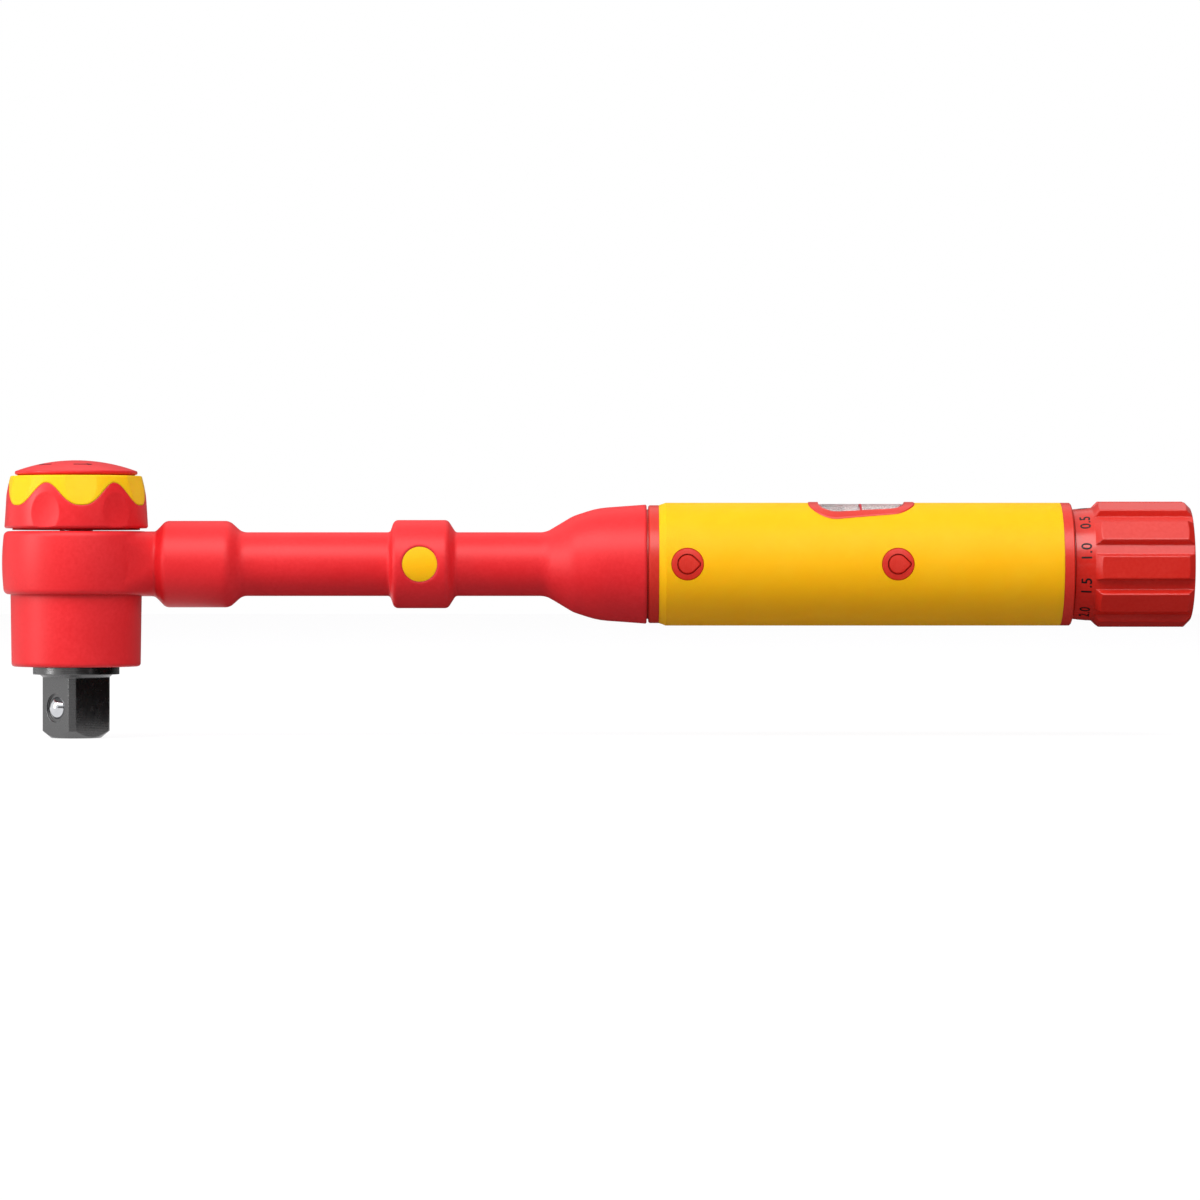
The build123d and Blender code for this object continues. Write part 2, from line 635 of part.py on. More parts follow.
def plug_form(extra, inner, outer):
    """Four teardrop plugs over the grip screws, cut to the grip's curve."""
    planes = [
        Plane(origin=(x, side * inner, HANDLE_Z), x_dir=(1, 0, 0), z_dir=(0, side, 0))
        for x in (BOSS_FRONT_X, BOSS_REAR_X)
        for side in (-1, 1)
    ]
    with BuildPart() as plugs:
        with BuildSketch(*planes):
            Circle(PLUG_RADIUS + extra)
            with Locations((PLUG_POINT - PLUG_POINT_RADIUS, 0)):
                Circle(PLUG_POINT_RADIUS + extra)
            make_hull()
        extrude(amount=GRIP_RADIUS - inner)
        rod(outer, SLEEVE_START, SLEEVE_END, mode=Mode.INTERSECT)
    return plugs.part


def boss_form(extra, outer):
    """The four round bosses that show through the cover, cut to a curve about the handle."""
    with BuildPart() as bosses:
        add(cross_rods(BOSS_RADIUS + extra, TUBE_RADIUS + GAP, GRIP_RADIUS + 1))
        rod(outer, SLEEVE_START, SLEEVE_END, mode=Mode.INTERSECT)
        chamfer(bosses.edges().group_by(outside)[-1], BOSS_EDGE)
    return bosses.part


def window_shape(end_inset, side_inset):
    """The scale window seen from above, wider at the front, drawn in by the two insets."""
    lean = (WINDOW_FRONT_WIDTH - WINDOW_REAR_WIDTH) / 2 / WINDOW_LENGTH * end_inset
    front = WINDOW_FRONT + end_inset
    rear = WINDOW_REAR - end_inset
    front_width = WINDOW_FRONT_WIDTH / 2 - lean - side_inset
    rear_width = WINDOW_REAR_WIDTH / 2 + lean - side_inset
    with BuildSketch(level(0)) as shape:
        with BuildLine():
            Polyline(
                (front, -front_width),
                (front, front_width),
                (rear, rear_width),
                (rear, -rear_width),
                close=True,
            )
        make_face()
        fillet(shape.vertices().group_by(Axis.X)[0], WINDOW_FRONT_ROUND - side_inset)
        fillet(shape.vertices().group_by(Axis.X)[-1], WINDOW_REAR_ROUND - side_inset)
    return shape.sketch


def window_block(end_inset, side_inset, inner_radius, outer_radius):
    """The window's shape as a block between two radii about the handle's axis."""
    with BuildPart() as block:
        extrude(window_shape(end_inset, side_inset), amount=2 * GRIP_RADIUS)
        rod(outer_radius, WINDOW_FRONT - 1, WINDOW_REAR + 1, mode=Mode.INTERSECT)
        if inner_radius > 0:
            rod(inner_radius, WINDOW_FRONT - 1, WINDOW_REAR + 1, mode=Mode.SUBTRACT)
    return block.part


def frame_form():
    """The window's frame as a full block, its outer edge broken."""
    with BuildPart() as frame:
        add(window_block(0, 0, 0, FRAME_RADIUS))
        chamfer(frame.edges().group_by(outside)[-1], FRAME_EDGE)
    return frame.part


def dial_blank():
    """The dial's outer form, barrel sided with a flat at each drop of the wave."""
    shoulder = ((DIAL_RADIUS + DIAL_SHOULDER_RADIUS) / 2 + DIAL_BULGE, (DIAL_BOTTOM + DIAL_TOP) / 2)
    with BuildPart() as blank:
        with BuildSketch(side_plane()) as outline:
            with BuildLine():
                Polyline(
                    (DIAL_SHOULDER_RADIUS, DIAL_TOP),
                    (0, DIAL_TOP),
                    (0, DIAL_BOTTOM),
                    (DIAL_RADIUS - DIAL_BEVEL, DIAL_BOTTOM),
                    (DIAL_RADIUS, DIAL_BOTTOM + DIAL_BEVEL),
                )
                ThreePointArc(
                    (DIAL_RADIUS, DIAL_BOTTOM + DIAL_BEVEL), shoulder, (DIAL_SHOULDER_RADIUS, DIAL_TOP)
                )
            make_face()
            fillet(outline.vertices().group_by(Axis.Y)[-1].sort_by(Axis.X)[-1], DIAL_BEVEL)
        revolve(axis=Axis.Z)
        with Locations(level(DIAL_TOP).location):
            with PolarLocations(
                DIAL_SHOULDER_RADIUS - FACET_DEPTH, WAVE_COUNT, start_angle=HUMP_ANGLE + 180 / WAVE_COUNT
            ):
                with Locations(Location((0, 0, 0), (0, -FACET_TILT, 0))):
                    Box(
                        FACET_WIDTH,
                        FACET_WIDTH,
                        2 * FACET_HEIGHT,
                        align=(Align.MIN, Align.CENTER, Align.CENTER),
                        mode=Mode.SUBTRACT,
                    )
    return blank.part


def wave_edge(radius, drop):
    """The wave that parts the band from the dial, as a closed line at one radius."""
    bottom = HANDLE_Z + WAVE_LOW - drop
    count = WAVE_COUNT * WAVE_POINTS
    points = []
    for step in range(count):
        angle = 360 * step / count
        flat = polar(radius, angle + HUMP_ANGLE)
        share = (0.5 + cos(radians(WAVE_COUNT * angle)) / 2) ** WAVE_NARROWING
        points.append((flat.X, flat.Y, bottom + (WAVE_HIGH - WAVE_LOW) * share))
    return Edge.make_spline(points, periodic=True)


def wave_prism(inner_radius, drop):
    """All that lies above the wave, outside a radius."""
    face = Face.make_surface_from_curves(wave_edge(inner_radius, drop), wave_edge(DIAL_RADIUS + 2, drop))
    with BuildPart() as prism:
        extrude(face, amount=DIAL_TOP - WAVE_LOW + 2, dir=(0, 0, 1))
    return prism.part


def gap_half_width(radius):
    """Half the width of the space between two wheel teeth at a radius."""
    share = (radius - WHEEL_ROOT_RADIUS) / (WHEEL_TIP_RADIUS - WHEEL_ROOT_RADIUS)
    tooth = WHEEL_TOOTH_BASE + (WHEEL_TOOTH_TOP - WHEEL_TOOTH_BASE) * share
    return pi * radius / WHEEL_TEETH - tooth / 2


def pawl_form():
    """The upper pawl in mesh: an eye, an arm, two teeth and the stud that the selector moves."""
    inner = WHEEL_TIP_RADIUS + PAWL_TIP_PLAY
    tip = WHEEL_ROOT_RADIUS + PAWL_TOOTH_ROOT_PLAY
    with BuildPart() as pawl:
        with BuildSketch(level(PAWL_BOTTOM)):
            with Locations(PAWL_PIVOT):
                Circle(PAWL_EYE_RADIUS)
            with Locations(PAWL_NOSE):
                Circle(PAWL_NOSE_RADIUS)
            make_hull()
            Circle(inner, mode=Mode.SUBTRACT)
            for angle in (PAWL_TIP_ANGLE, PAWL_TIP_ANGLE + 360 / WHEEL_TEETH):
                with PolarLocations(0, 1, start_angle=angle):
                    Polygon(
                        (tip, -gap_half_width(tip) + TOOTH_PLAY),
                        (inner, -gap_half_width(inner) + TOOTH_PLAY),
                        (inner + PAWL_TOOTH_BURY, -PAWL_TOOTH_BURY),
                        (inner + PAWL_TOOTH_BURY, PAWL_TOOTH_BURY),
                        (inner, gap_half_width(inner) - TOOTH_PLAY),
                        (tip, gap_half_width(tip) - TOOTH_PLAY),
                        align=None,
                    )
        extrude(amount=PAWL_HEIGHT)
        with Locations((PAWL_PIVOT.X, PAWL_PIVOT.Y, HANDLE_Z)):
            Cylinder(PAWL_PIN_RADIUS + RUN, 2 * HANDLE_Z, mode=Mode.SUBTRACT)
        with BuildSketch(level(PAWL_TOP)):
            with Locations(PAWL_STUD):
                Circle(PAWL_STUD_RADIUS)
        extrude(amount=SELECTOR_TOP - PAWL_TOP)
    return pawl.part


def stud_path(hand):
    """The line that a pawl's stud follows on the selector as the dial turns."""
    pivot = Vector(PAWL_PIVOT.X, hand * PAWL_PIVOT.Y)
    stud = Vector(PAWL_STUD.X, hand * PAWL_STUD.Y)
    points = []
    for share in (0, 0.5, 1):
        lift = PAWL_LIFT * share if hand > 0 else PAWL_LIFT * (share - 1)
        points.append(turned(stud, pivot, lift).rotate(Axis.Z, -SELECTOR_ANGLE * share))
    return Edge.make_three_point_arc(*points)


def pawl_spring_form():
    """The upper pawl's torsion spring: a coil on its pin, a leg on the stud and one on the wall."""
    leg = PAWL_SPRING_WIRE
    side = PAWL_STUD_RADIUS + RUN + leg / 2
    reach = PAWL_STUD_DISTANCE + PAWL_STUD_RADIUS
    anchor = sqrt((PAWL_EYE_RADIUS + GAP - RUN) ** 2 - PAWL_SPRING_RADIUS**2)
    with BuildPart() as spring:
        with BuildSketch(level(PAWL_TOP + RUN)):
            with Locations(PAWL_PIVOT):
                Circle(PAWL_SPRING_RADIUS)
                Circle(PAWL_SPRING_RADIUS - leg, mode=Mode.SUBTRACT)
            with Locations(Location((PAWL_PIVOT.X, PAWL_PIVOT.Y, 0), (0, 0, PAWL_STUD_ANGLE))):
                with Locations((PAWL_SPRING_RADIUS - leg, side)):
                    Rectangle(reach - PAWL_SPRING_RADIUS, leg, align=(Align.MIN, Align.CENTER))
                with Locations((0, PAWL_SPRING_RADIUS)):
                    Rectangle(anchor, leg, align=(Align.MAX, Align.MAX))
        extrude(amount=PAWL_SPRING_HEIGHT)
    return spring.part


def snap_ring(radius, width, opening, bottom, height):
    """A flat snap ring about the drive's axis, its opening towards -X."""
    with BuildPart() as ring:
        with BuildSketch(level(bottom)):
            Circle(radius)
            Circle(radius - width, mode=Mode.SUBTRACT)
            Rectangle(2 * radius, opening, align=(Align.MAX, Align.CENTER), mode=Mode.SUBTRACT)
        extrude(amount=height)
    return ring.part


# The insulating jacket over the head, the neck and the bell
with BuildPart() as insulation_jacket:
    add(drum_blank())
    add(flare_blank())
    add(neck_blank())
    add(lever_form(BOND), mode=Mode.SUBTRACT)
    rod(BELL_MOUTH_RADIUS, BELL_END - BELL_MOUTH, BELL_END + 1, mode=Mode.SUBTRACT)
    post(COVER_RADIUS + GAP, HEAD_STEEL_TOP, DRUM_TOP + 1, mode=Mode.SUBTRACT)
    post(BUSH_RADIUS + PRESS, SKIRT_BOTTOM - 1, HEAD_STEEL_BOTTOM, mode=Mode.SUBTRACT)
    add(marker_form(PRESS, COLLAR_RADIUS + 1), mode=Mode.SUBTRACT)
insulation_jacket.part.label = "insulation_jacket"
export_step(insulation_jacket.part, "parts/insulation_jacket.step")

# The yellow round plugs in the collar
with BuildPart() as marker_plugs:
    add(marker_form(0, COLLAR_RADIUS))
marker_plugs.part.label = "marker_plugs"
export_step(marker_plugs.part, "parts/marker_plugs.step")

# The steel head and lever, one forging: wheel chamber, pawl pockets, eye and tail
with BuildPart() as ratchet_lever:
    add(lever_form(0))
    bar(EYE_WIDTH, EYE_HEIGHT, LEVER_BOSS_END - 1, PIVOT_X + EYE_HEIGHT / 2)
    bar(TAIL_WIDTH, TAIL_HEIGHT, PIVOT_X, TAIL_END)
    bar(
        BLOCK_WIDTH + 2 * BLOCK_PLAY,
        BLOCK_HEIGHT + 2 * BLOCK_PLAY,
        TAIL_END - BLOCK_POCKET,
        TAIL_END + 1,
        mode=Mode.SUBTRACT,
    )
    with Locations((PIVOT_X, 0, HANDLE_Z)):
        Cylinder(PIVOT_PIN_RADIUS + RUN, 2 * EYE_HEIGHT, mode=Mode.SUBTRACT)
    post(SPINDLE_RADIUS + GAP, HEAD_STEEL_BOTTOM - 1, HEAD_FLOOR, mode=Mode.SUBTRACT)
    post(WHEEL_TIP_RADIUS + GAP, HEAD_FLOOR, CHAMBER_BOTTOM, mode=Mode.SUBTRACT)
    for hand in (1, -1):
        with BuildSketch(level(HEAD_FLOOR)):
            with Locations((PAWL_PIVOT.X, hand * PAWL_PIVOT.Y)):
                Circle(PAWL_EYE_RADIUS + GAP)
            with Locations((PAWL_NOSE.X, hand * PAWL_NOSE.Y), (LIFTED_NOSE.X, hand * LIFTED_NOSE.Y)):
                Circle(PAWL_NOSE_RADIUS + GAP)
            make_hull()
        extrude(amount=CHAMBER_BOTTOM - HEAD_FLOOR, mode=Mode.SUBTRACT)
        with Locations((PAWL_PIVOT.X, hand * PAWL_PIVOT.Y, HANDLE_Z + HEAD_FLOOR)):
            Cylinder(PAWL_PIN_RADIUS + PRESS, 2 * PAWL_PIN_DEPTH + 2 * PRESS, mode=Mode.SUBTRACT)
    post(SELECTOR_RADIUS + GAP, CHAMBER_BOTTOM, COVER_BOTTOM, mode=Mode.SUBTRACT)
    post(COVER_RADIUS + PRESS, COVER_BOTTOM, HEAD_STEEL_TOP + 1, mode=Mode.SUBTRACT)
    post(
        COVER_RADIUS + COVER_RING_DEPTH + PRESS,
        COVER_TOP - PRESS,
        COVER_TOP + COVER_RING_HEIGHT + 2 * PRESS,
        mode=Mode.SUBTRACT,
    )
ratchet_lever.part.label = "ratchet_lever"
export_step(ratchet_lever.part, "parts/ratchet_lever.step")

# The insulating bearing bush of the spindle, in the skirt
with BuildPart() as drive_bush:
    post(BUSH_RADIUS, SKIRT_BOTTOM + GAP, HEAD_STEEL_BOTTOM - PRESS)
    post(SPINDLE_RADIUS + RUN, SKIRT_BOTTOM, HEAD_STEEL_BOTTOM, mode=Mode.SUBTRACT)
drive_bush.part.label = "drive_bush"
export_step(drive_bush.part, "parts/drive_bush.step")

# The drive spindle: square, collar, journal and the hexagon that carries the wheel
with BuildPart() as drive_spindle:
    with BuildSketch(level(TIP_LEVEL)):
        Rectangle(DRIVE_SQUARE, DRIVE_SQUARE, rotation=DRIVE_TURN)
        Circle(DRIVE_CORNERS / 2, mode=Mode.INTERSECT)
    extrude(amount=DRIVE_LENGTH)
    with BuildSketch(side_plane()):
        with BuildLine():
            Polyline(
                (0, TIP_LEVEL),
                (DRIVE_SQUARE / 2 - GAP, TIP_LEVEL),
                (DRIVE_CORNERS / 2, TIP_LEVEL + DRIVE_TIP_CHAMFER),
                (DRIVE_CORNERS / 2, TIP_LEVEL + DRIVE_LENGTH),
                (0, TIP_LEVEL + DRIVE_LENGTH),
                close=True,
            )
        make_face()
    revolve(axis=Axis.Z, mode=Mode.INTERSECT)
    with Locations(level(TIP_LEVEL + DRIVE_LENGTH).location):
        Cone(
            DRIVE_CORNERS / 2,
            SPINDLE_NECK_RADIUS,
            COLLAR_BOTTOM - TIP_LEVEL - DRIVE_LENGTH,
            align=(Align.CENTER, Align.CENTER, Align.MIN),
        )
    post(SPINDLE_COLLAR_RADIUS, COLLAR_BOTTOM, SKIRT_BOTTOM - RUN)
    post(SPINDLE_RADIUS, SKIRT_BOTTOM - RUN, WHEEL_BOTTOM - RUN)
    with BuildSketch(level(WHEEL_BOTTOM - RUN)):
        RegularPolygon(SPINDLE_HEX / 2, 6, major_radius=False)
    extrude(amount=WHEEL_HEIGHT + RUN)
    post(SPINDLE_END_RADIUS - CIRCLIP_DEPTH, WHEEL_TOP, SPINDLE_TOP)
    post(SPINDLE_END_RADIUS, WHEEL_TOP + CIRCLIP_HEIGHT + 2 * RUN, SPINDLE_TOP)
    with Locations(BALL_PLANE.location):
        with Locations((0, 0, BALL_CENTRE)):
            Sphere(BALL_RADIUS + RUN, mode=Mode.SUBTRACT)
            Cylinder(
                BALL_RADIUS + RUN,
                BALL_CENTRE - DRIVE_SQUARE / 2 + BALL_HOLE_DEPTH,
                align=(Align.CENTER, Align.CENTER, Align.MAX),
                mode=Mode.SUBTRACT,
            )
        with Locations((0, 0, DRIVE_SQUARE / 2 - BALL_SINK_DEPTH)):
            Cylinder(
                BALL_SINK_RADIUS,
                BALL_SINK_DEPTH + 1,
                align=(Align.CENTER, Align.CENTER, Align.MIN),
                mode=Mode.SUBTRACT,
            )
drive_spindle.part.label = "drive_spindle"
export_step(drive_spindle.part, "parts/drive_spindle.step")

# The ball that holds a socket on the square
with BuildPart() as detent_ball:
    with Locations(BALL_PLANE.location):
        with Locations((0, 0, BALL_CENTRE)):
            Sphere(BALL_RADIUS)
detent_ball.part.label = "detent_ball"
export_step(detent_ball.part, "parts/detent_ball.step")

# The spring behind the ball
ball_coil = coil(
    BALL_SPRING_RADIUS, BALL_SPRING_WIRE, BALL_SPRING_WIRE, BALL_SPRING_LENGTH, BALL_SPRING_TURNS
)
with BuildPart() as ball_spring:
    add(ball_coil.moved(BALL_PLANE.offset(BALL_SPRING_START).location))
ball_spring.part.label = "ball_spring"
export_step(ball_spring.part, "parts/ball_spring.step")

# The toothed wheel
with BuildPart() as ratchet_wheel:
    with BuildSketch(level(WHEEL_BOTTOM)):
        Circle(WHEEL_ROOT_RADIUS)
        with PolarLocations(0, WHEEL_TEETH, start_angle=PAWL_TIP_ANGLE + 180 / WHEEL_TEETH):
            Polygon(
                (WHEEL_ROOT_RADIUS - WHEEL_TOOTH_TOP, -WHEEL_TOOTH_BASE / 2),
                (WHEEL_ROOT_RADIUS, -WHEEL_TOOTH_BASE / 2),
                (WHEEL_TIP_RADIUS, -WHEEL_TOOTH_TOP / 2),
                (WHEEL_TIP_RADIUS, WHEEL_TOOTH_TOP / 2),
                (WHEEL_ROOT_RADIUS, WHEEL_TOOTH_BASE / 2),
                (WHEEL_ROOT_RADIUS - WHEEL_TOOTH_TOP, WHEEL_TOOTH_BASE / 2),
                align=None,
            )
        RegularPolygon(SPINDLE_HEX / 2 + PRESS, 6, major_radius=False, mode=Mode.SUBTRACT)
    extrude(amount=WHEEL_HEIGHT)
ratchet_wheel.part.label = "ratchet_wheel"
export_step(ratchet_wheel.part, "parts/ratchet_wheel.step")

# The ring that keeps the wheel on the spindle
with BuildPart() as wheel_circlip:
    add(
        snap_ring(
            CIRCLIP_RADIUS,
            CIRCLIP_RADIUS - SPINDLE_END_RADIUS + CIRCLIP_DEPTH - PRESS,
            CIRCLIP_OPENING,
            WHEEL_TOP + RUN,
            CIRCLIP_HEIGHT,
        )
    )
wheel_circlip.part.label = "wheel_circlip"
export_step(wheel_circlip.part, "parts/wheel_circlip.step")

# The pawl in mesh at rest
with BuildPart() as drive_pawl:
    add(pawl_form())
drive_pawl.part.label = "drive_pawl"
export_step(drive_pawl.part, "parts/drive_pawl.step")

# The pawl that the selector holds off the wheel at rest
with BuildPart() as reverse_pawl:
    add(pawl_form().mirror(Plane.XZ).rotate(REVERSE_PIVOT, -PAWL_LIFT))
reverse_pawl.part.label = "reverse_pawl"
export_step(reverse_pawl.part, "parts/reverse_pawl.step")

# The pins that the pawls turn on
with BuildPart() as pawl_pins:
    with BuildSketch(level(HEAD_FLOOR - PAWL_PIN_DEPTH)):
        with Locations(PAWL_PIVOT, (PAWL_PIVOT.X, -PAWL_PIVOT.Y)):
            Circle(PAWL_PIN_RADIUS)
    extrude(amount=PAWL_PIN_DEPTH + PAWL_PIN_TOP - HEAD_FLOOR)
pawl_pins.part.label = "pawl_pins"
export_step(pawl_pins.part, "parts/pawl_pins.step")

# The torsion springs on the pins, one leg on each pawl's stud
with BuildPart() as pawl_springs:
    add(pawl_spring_form())
    add(pawl_spring_form().mirror(Plane.XZ).rotate(REVERSE_PIVOT, -PAWL_LIFT))
pawl_springs.part.label = "pawl_springs"
export_step(pawl_springs.part, "parts/pawl_springs.step")

# The selector: a disc with a curved slot for each pawl's stud, and its shaft
with BuildPart() as selector_cam:
    with BuildSketch(level(SELECTOR_BOTTOM)):
        Circle(SELECTOR_RADIUS)
        for hand in (1, -1):
            SlotArc(stud_path(hand), 2 * (PAWL_STUD_RADIUS + GAP), mode=Mode.SUBTRACT)
    extrude(amount=SELECTOR_THICKNESS)
    post(SELECTOR_SHAFT_RADIUS, SELECTOR_TOP, DIAL_NECK_BOTTOM - PRESS)
    with BuildSketch(level(DIAL_NECK_BOTTOM - PRESS)):
        Rectangle(SELECTOR_SQUARE, SELECTOR_SQUARE)
    extrude(amount=SELECTOR_SHAFT_TOP - DIAL_NECK_BOTTOM + PRESS)
    post(
        DIAL_SCREW_RADIUS + PRESS,
        SELECTOR_SHAFT_TOP - DIAL_SCREW_LENGTH,
        SELECTOR_SHAFT_TOP + 1,
        mode=Mode.SUBTRACT,
    )
selector_cam.part.label = "selector_cam"
export_step(selector_cam.part, "parts/selector_cam.step")

# The plate that closes the head
with BuildPart() as head_cover:
    post(COVER_RADIUS, COVER_BOTTOM, COVER_TOP - PRESS)
    post(SELECTOR_SHAFT_RADIUS + RUN, COVER_BOTTOM - 1, COVER_TOP + 1, mode=Mode.SUBTRACT)
head_cover.part.label = "head_cover"
export_step(head_cover.part, "parts/head_cover.step")

# The snap ring that holds the plate
with BuildPart() as cover_ring:
    add(
        snap_ring(
            COVER_RADIUS + COVER_RING_DEPTH,
            COVER_RING_WIDTH,
            COVER_RING_OPENING,
            COVER_TOP,
            COVER_RING_HEIGHT,
        )
    )
cover_ring.part.label = "cover_ring"
export_step(cover_ring.part, "parts/cover_ring.step")

# The red dial, hollow below, with finger dimples and the band's seat
with BuildPart() as reversing_dial:
    add(dial_blank())
    post(DIAL_NECK_RADIUS, DIAL_NECK_BOTTOM, DIAL_BOTTOM)
    add(wave_prism(BAND_INNER_RADIUS - BOND, BOND), mode=Mode.SUBTRACT)
    with Locations(level(DIMPLE_HEIGHT).location):
        with PolarLocations(DIMPLE_CENTRE, WAVE_COUNT, start_angle=HUMP_ANGLE):
            Sphere(DIMPLE_RADIUS, mode=Mode.SUBTRACT)
    with BuildSketch(level(DIAL_NECK_BOTTOM)):
        Circle(DIAL_CAVITY_RADIUS)
        Circle(DIAL_HUB_RADIUS, mode=Mode.SUBTRACT)
    extrude(amount=DIAL_CAVITY_TOP - DIAL_NECK_BOTTOM, mode=Mode.SUBTRACT)
    with BuildSketch(level(DIAL_NECK_BOTTOM)):
        Rectangle(SELECTOR_SQUARE + 2 * PRESS, SELECTOR_SQUARE + 2 * PRESS)
    extrude(amount=SELECTOR_SHAFT_TOP + PRESS - DIAL_NECK_BOTTOM, mode=Mode.SUBTRACT)
    post(DIAL_SCREW_RADIUS + GAP / 2, SELECTOR_SHAFT_TOP, DIAL_RECESS_BOTTOM, mode=Mode.SUBTRACT)
    post(DIAL_RECESS_RADIUS, DIAL_RECESS_BOTTOM, DIAL_TOP + 1, mode=Mode.SUBTRACT)
reversing_dial.part.label = "reversing_dial"
export_step(reversing_dial.part, "parts/reversing_dial.step")

# The yellow band on the dial's wavy edge
with BuildPart() as dial_band:
    add(dial_blank())
    add(wave_prism(BAND_INNER_RADIUS, 0), mode=Mode.INTERSECT)
dial_band.part.label = "dial_band"
export_step(dial_band.part, "parts/dial_band.step")

# The screw that holds the dial on the selector's shaft
with BuildPart() as dial_screw:
    post(DIAL_SCREW_RADIUS, SELECTOR_SHAFT_TOP - DIAL_SCREW_LENGTH + GAP, DIAL_RECESS_BOTTOM + PRESS)
    post(DIAL_SCREW_HEAD_RADIUS, DIAL_RECESS_BOTTOM + PRESS, DIAL_RECESS_BOTTOM + DIAL_SCREW_HEAD)
    with BuildSketch(level(DIAL_RECESS_BOTTOM + DIAL_SCREW_HEAD)):
        RegularPolygon(DIAL_SCREW_SOCKET / 2, 6, major_radius=False)
    extrude(amount=-DIAL_SCREW_SOCKET_DEPTH, mode=Mode.SUBTRACT)
dial_screw.part.label = "dial_screw"
export_step(dial_screw.part, "parts/dial_screw.step")

# The domed disc that closes the dial
with BuildPart() as dial_cap:
    with BuildSketch(side_plane()) as outline:
        with BuildLine():
            Polyline(
                (0, CAP_TOP),
                (0, DIAL_TOP - CAP_SPIGOT),
                (DIAL_RECESS_RADIUS - PRESS, DIAL_TOP - CAP_SPIGOT),
                (DIAL_RECESS_RADIUS - PRESS, DIAL_TOP + PRESS),
                (CAP_NECK_RADIUS, DIAL_TOP + PRESS),
                (CAP_NECK_RADIUS, CAP_LIP_BOTTOM),
                (CAP_RADIUS, CAP_LIP_BOTTOM),
                (CAP_RADIUS, CAP_LIP_TOP),
            )
            TangentArc((0, CAP_TOP), (CAP_RADIUS, CAP_LIP_TOP), tangent=(1, 0))
        make_face()
        fillet(outline.vertices().filter_by_position(Axis.X, CAP_RADIUS - RUN, CAP_RADIUS), CAP_ROUND)
    revolve(axis=Axis.Z)
dial_cap.part.label = "dial_cap"
export_step(dial_cap.part, "parts/dial_cap.step")

# The steel tube: pin holes, scale slot, key slot and the seal's groove
with BuildPart() as housing_tube:
    rod(TUBE_RADIUS, TUBE_START, TUBE_END)
    rod(TUBE_BORE, TUBE_START, TUBE_END, mode=Mode.SUBTRACT)
    with Locations((PIVOT_X, 0, HANDLE_Z)):
        Cylinder(PIVOT_PIN_RADIUS + PRESS, 3 * TUBE_RADIUS, mode=Mode.SUBTRACT)
    with Locations((LENS_FRONT + LENS_LEDGE, 0, HANDLE_Z)):
        Box(
            LENS_REAR - LENS_FRONT - 2 * LENS_LEDGE,
            SCALE_SLOT_WIDTH,
            TUBE_RADIUS + 1,
            align=(Align.MIN, Align.CENTER, Align.MIN),
            mode=Mode.SUBTRACT,
        )
    with Locations((NUT_START - SETTING_TRAVEL - GAP, 0, HANDLE_Z)):
        Box(
            NUT_LENGTH + SETTING_TRAVEL + 2 * GAP,
            NUT_KEY_WIDTH + 2 * KEY_PLAY,
            TUBE_RADIUS + 1,
            align=(Align.MIN, Align.CENTER, Align.MAX),
            mode=Mode.SUBTRACT,
        )
    add(cross_rods(SCREW_RADIUS + PRESS, SCREW_TIP - 1, TUBE_RADIUS + 1), mode=Mode.SUBTRACT)
    with BuildSketch(station(SEAL_X - SEAL_SECTION - PRESS)):
        Circle(TUBE_RADIUS + 1)
        Circle(SEAL_RADIUS - SEAL_SECTION - PRESS, mode=Mode.SUBTRACT)
    extrude(amount=2 * (SEAL_SECTION + PRESS), mode=Mode.SUBTRACT)
housing_tube.part.label = "housing_tube"
export_step(housing_tube.part, "parts/housing_tube.step")

# The pin that the lever swings on
with BuildPart() as pivot_pin:
    with Locations((PIVOT_X, 0, HANDLE_Z)):
        Cylinder(PIVOT_PIN_RADIUS, 2 * sqrt(TUBE_RADIUS**2 - PIVOT_PIN_RADIUS**2))
pivot_pin.part.label = "pivot_pin"
export_step(pivot_pin.part, "parts/pivot_pin.step")

# The block that tips between the lever's tail and the plunger
with BuildPart() as tilt_block:
    bar(BLOCK_WIDTH, BLOCK_HEIGHT, BLOCK_START, BLOCK_END)
    chamfer(tilt_block.edges().filter_by(Axis.Z), BLOCK_CHAMFER)
tilt_block.part.label = "tilt_block"
export_step(tilt_block.part, "parts/tilt_block.step")

# The piston that the main spring pushes on the block
with BuildPart() as plunger:
    rod(TUBE_BORE - 2 * RUN, PLUNGER_FRONT, PLUNGER_LAND_END)
    rod(SPRING_RADIUS, PLUNGER_LAND_END, SPRING_SEAT)
    rod(PLUNGER_GUIDE_RADIUS, SPRING_SEAT, SPRING_SEAT + PLUNGER_GUIDE)
    bar(
        BLOCK_WIDTH + 2 * BLOCK_PLAY,
        BLOCK_HEIGHT + 2 * BLOCK_PLAY,
        PLUNGER_FRONT - 1,
        PLUNGER_FRONT + BLOCK_POCKET,
        mode=Mode.SUBTRACT,
    )
plunger.part.label = "plunger"
export_step(plunger.part, "parts/plunger.step")

# The torque spring, wound from rectangular wire
main_coil = coil(SPRING_RADIUS, SPRING_WIRE_DEPTH, SPRING_WIRE_WIDTH, SPRING_LENGTH, SPRING_TURNS)
with BuildPart() as main_spring:
    add(main_coil.moved(station(SPRING_SEAT + RUN).location))
main_spring.part.label = "main_spring"
export_step(main_spring.part, "parts/main_spring.step")

# The washer between the spring and the nut
with BuildPart() as spring_washer:
    rod(SPRING_RADIUS, WASHER_START, NUT_START - RUN)
    rod(SETTER_RADIUS + GAP, WASHER_START - 1, NUT_START, mode=Mode.SUBTRACT)
spring_washer.part.label = "spring_washer"
export_step(spring_washer.part, "parts/spring_washer.step")

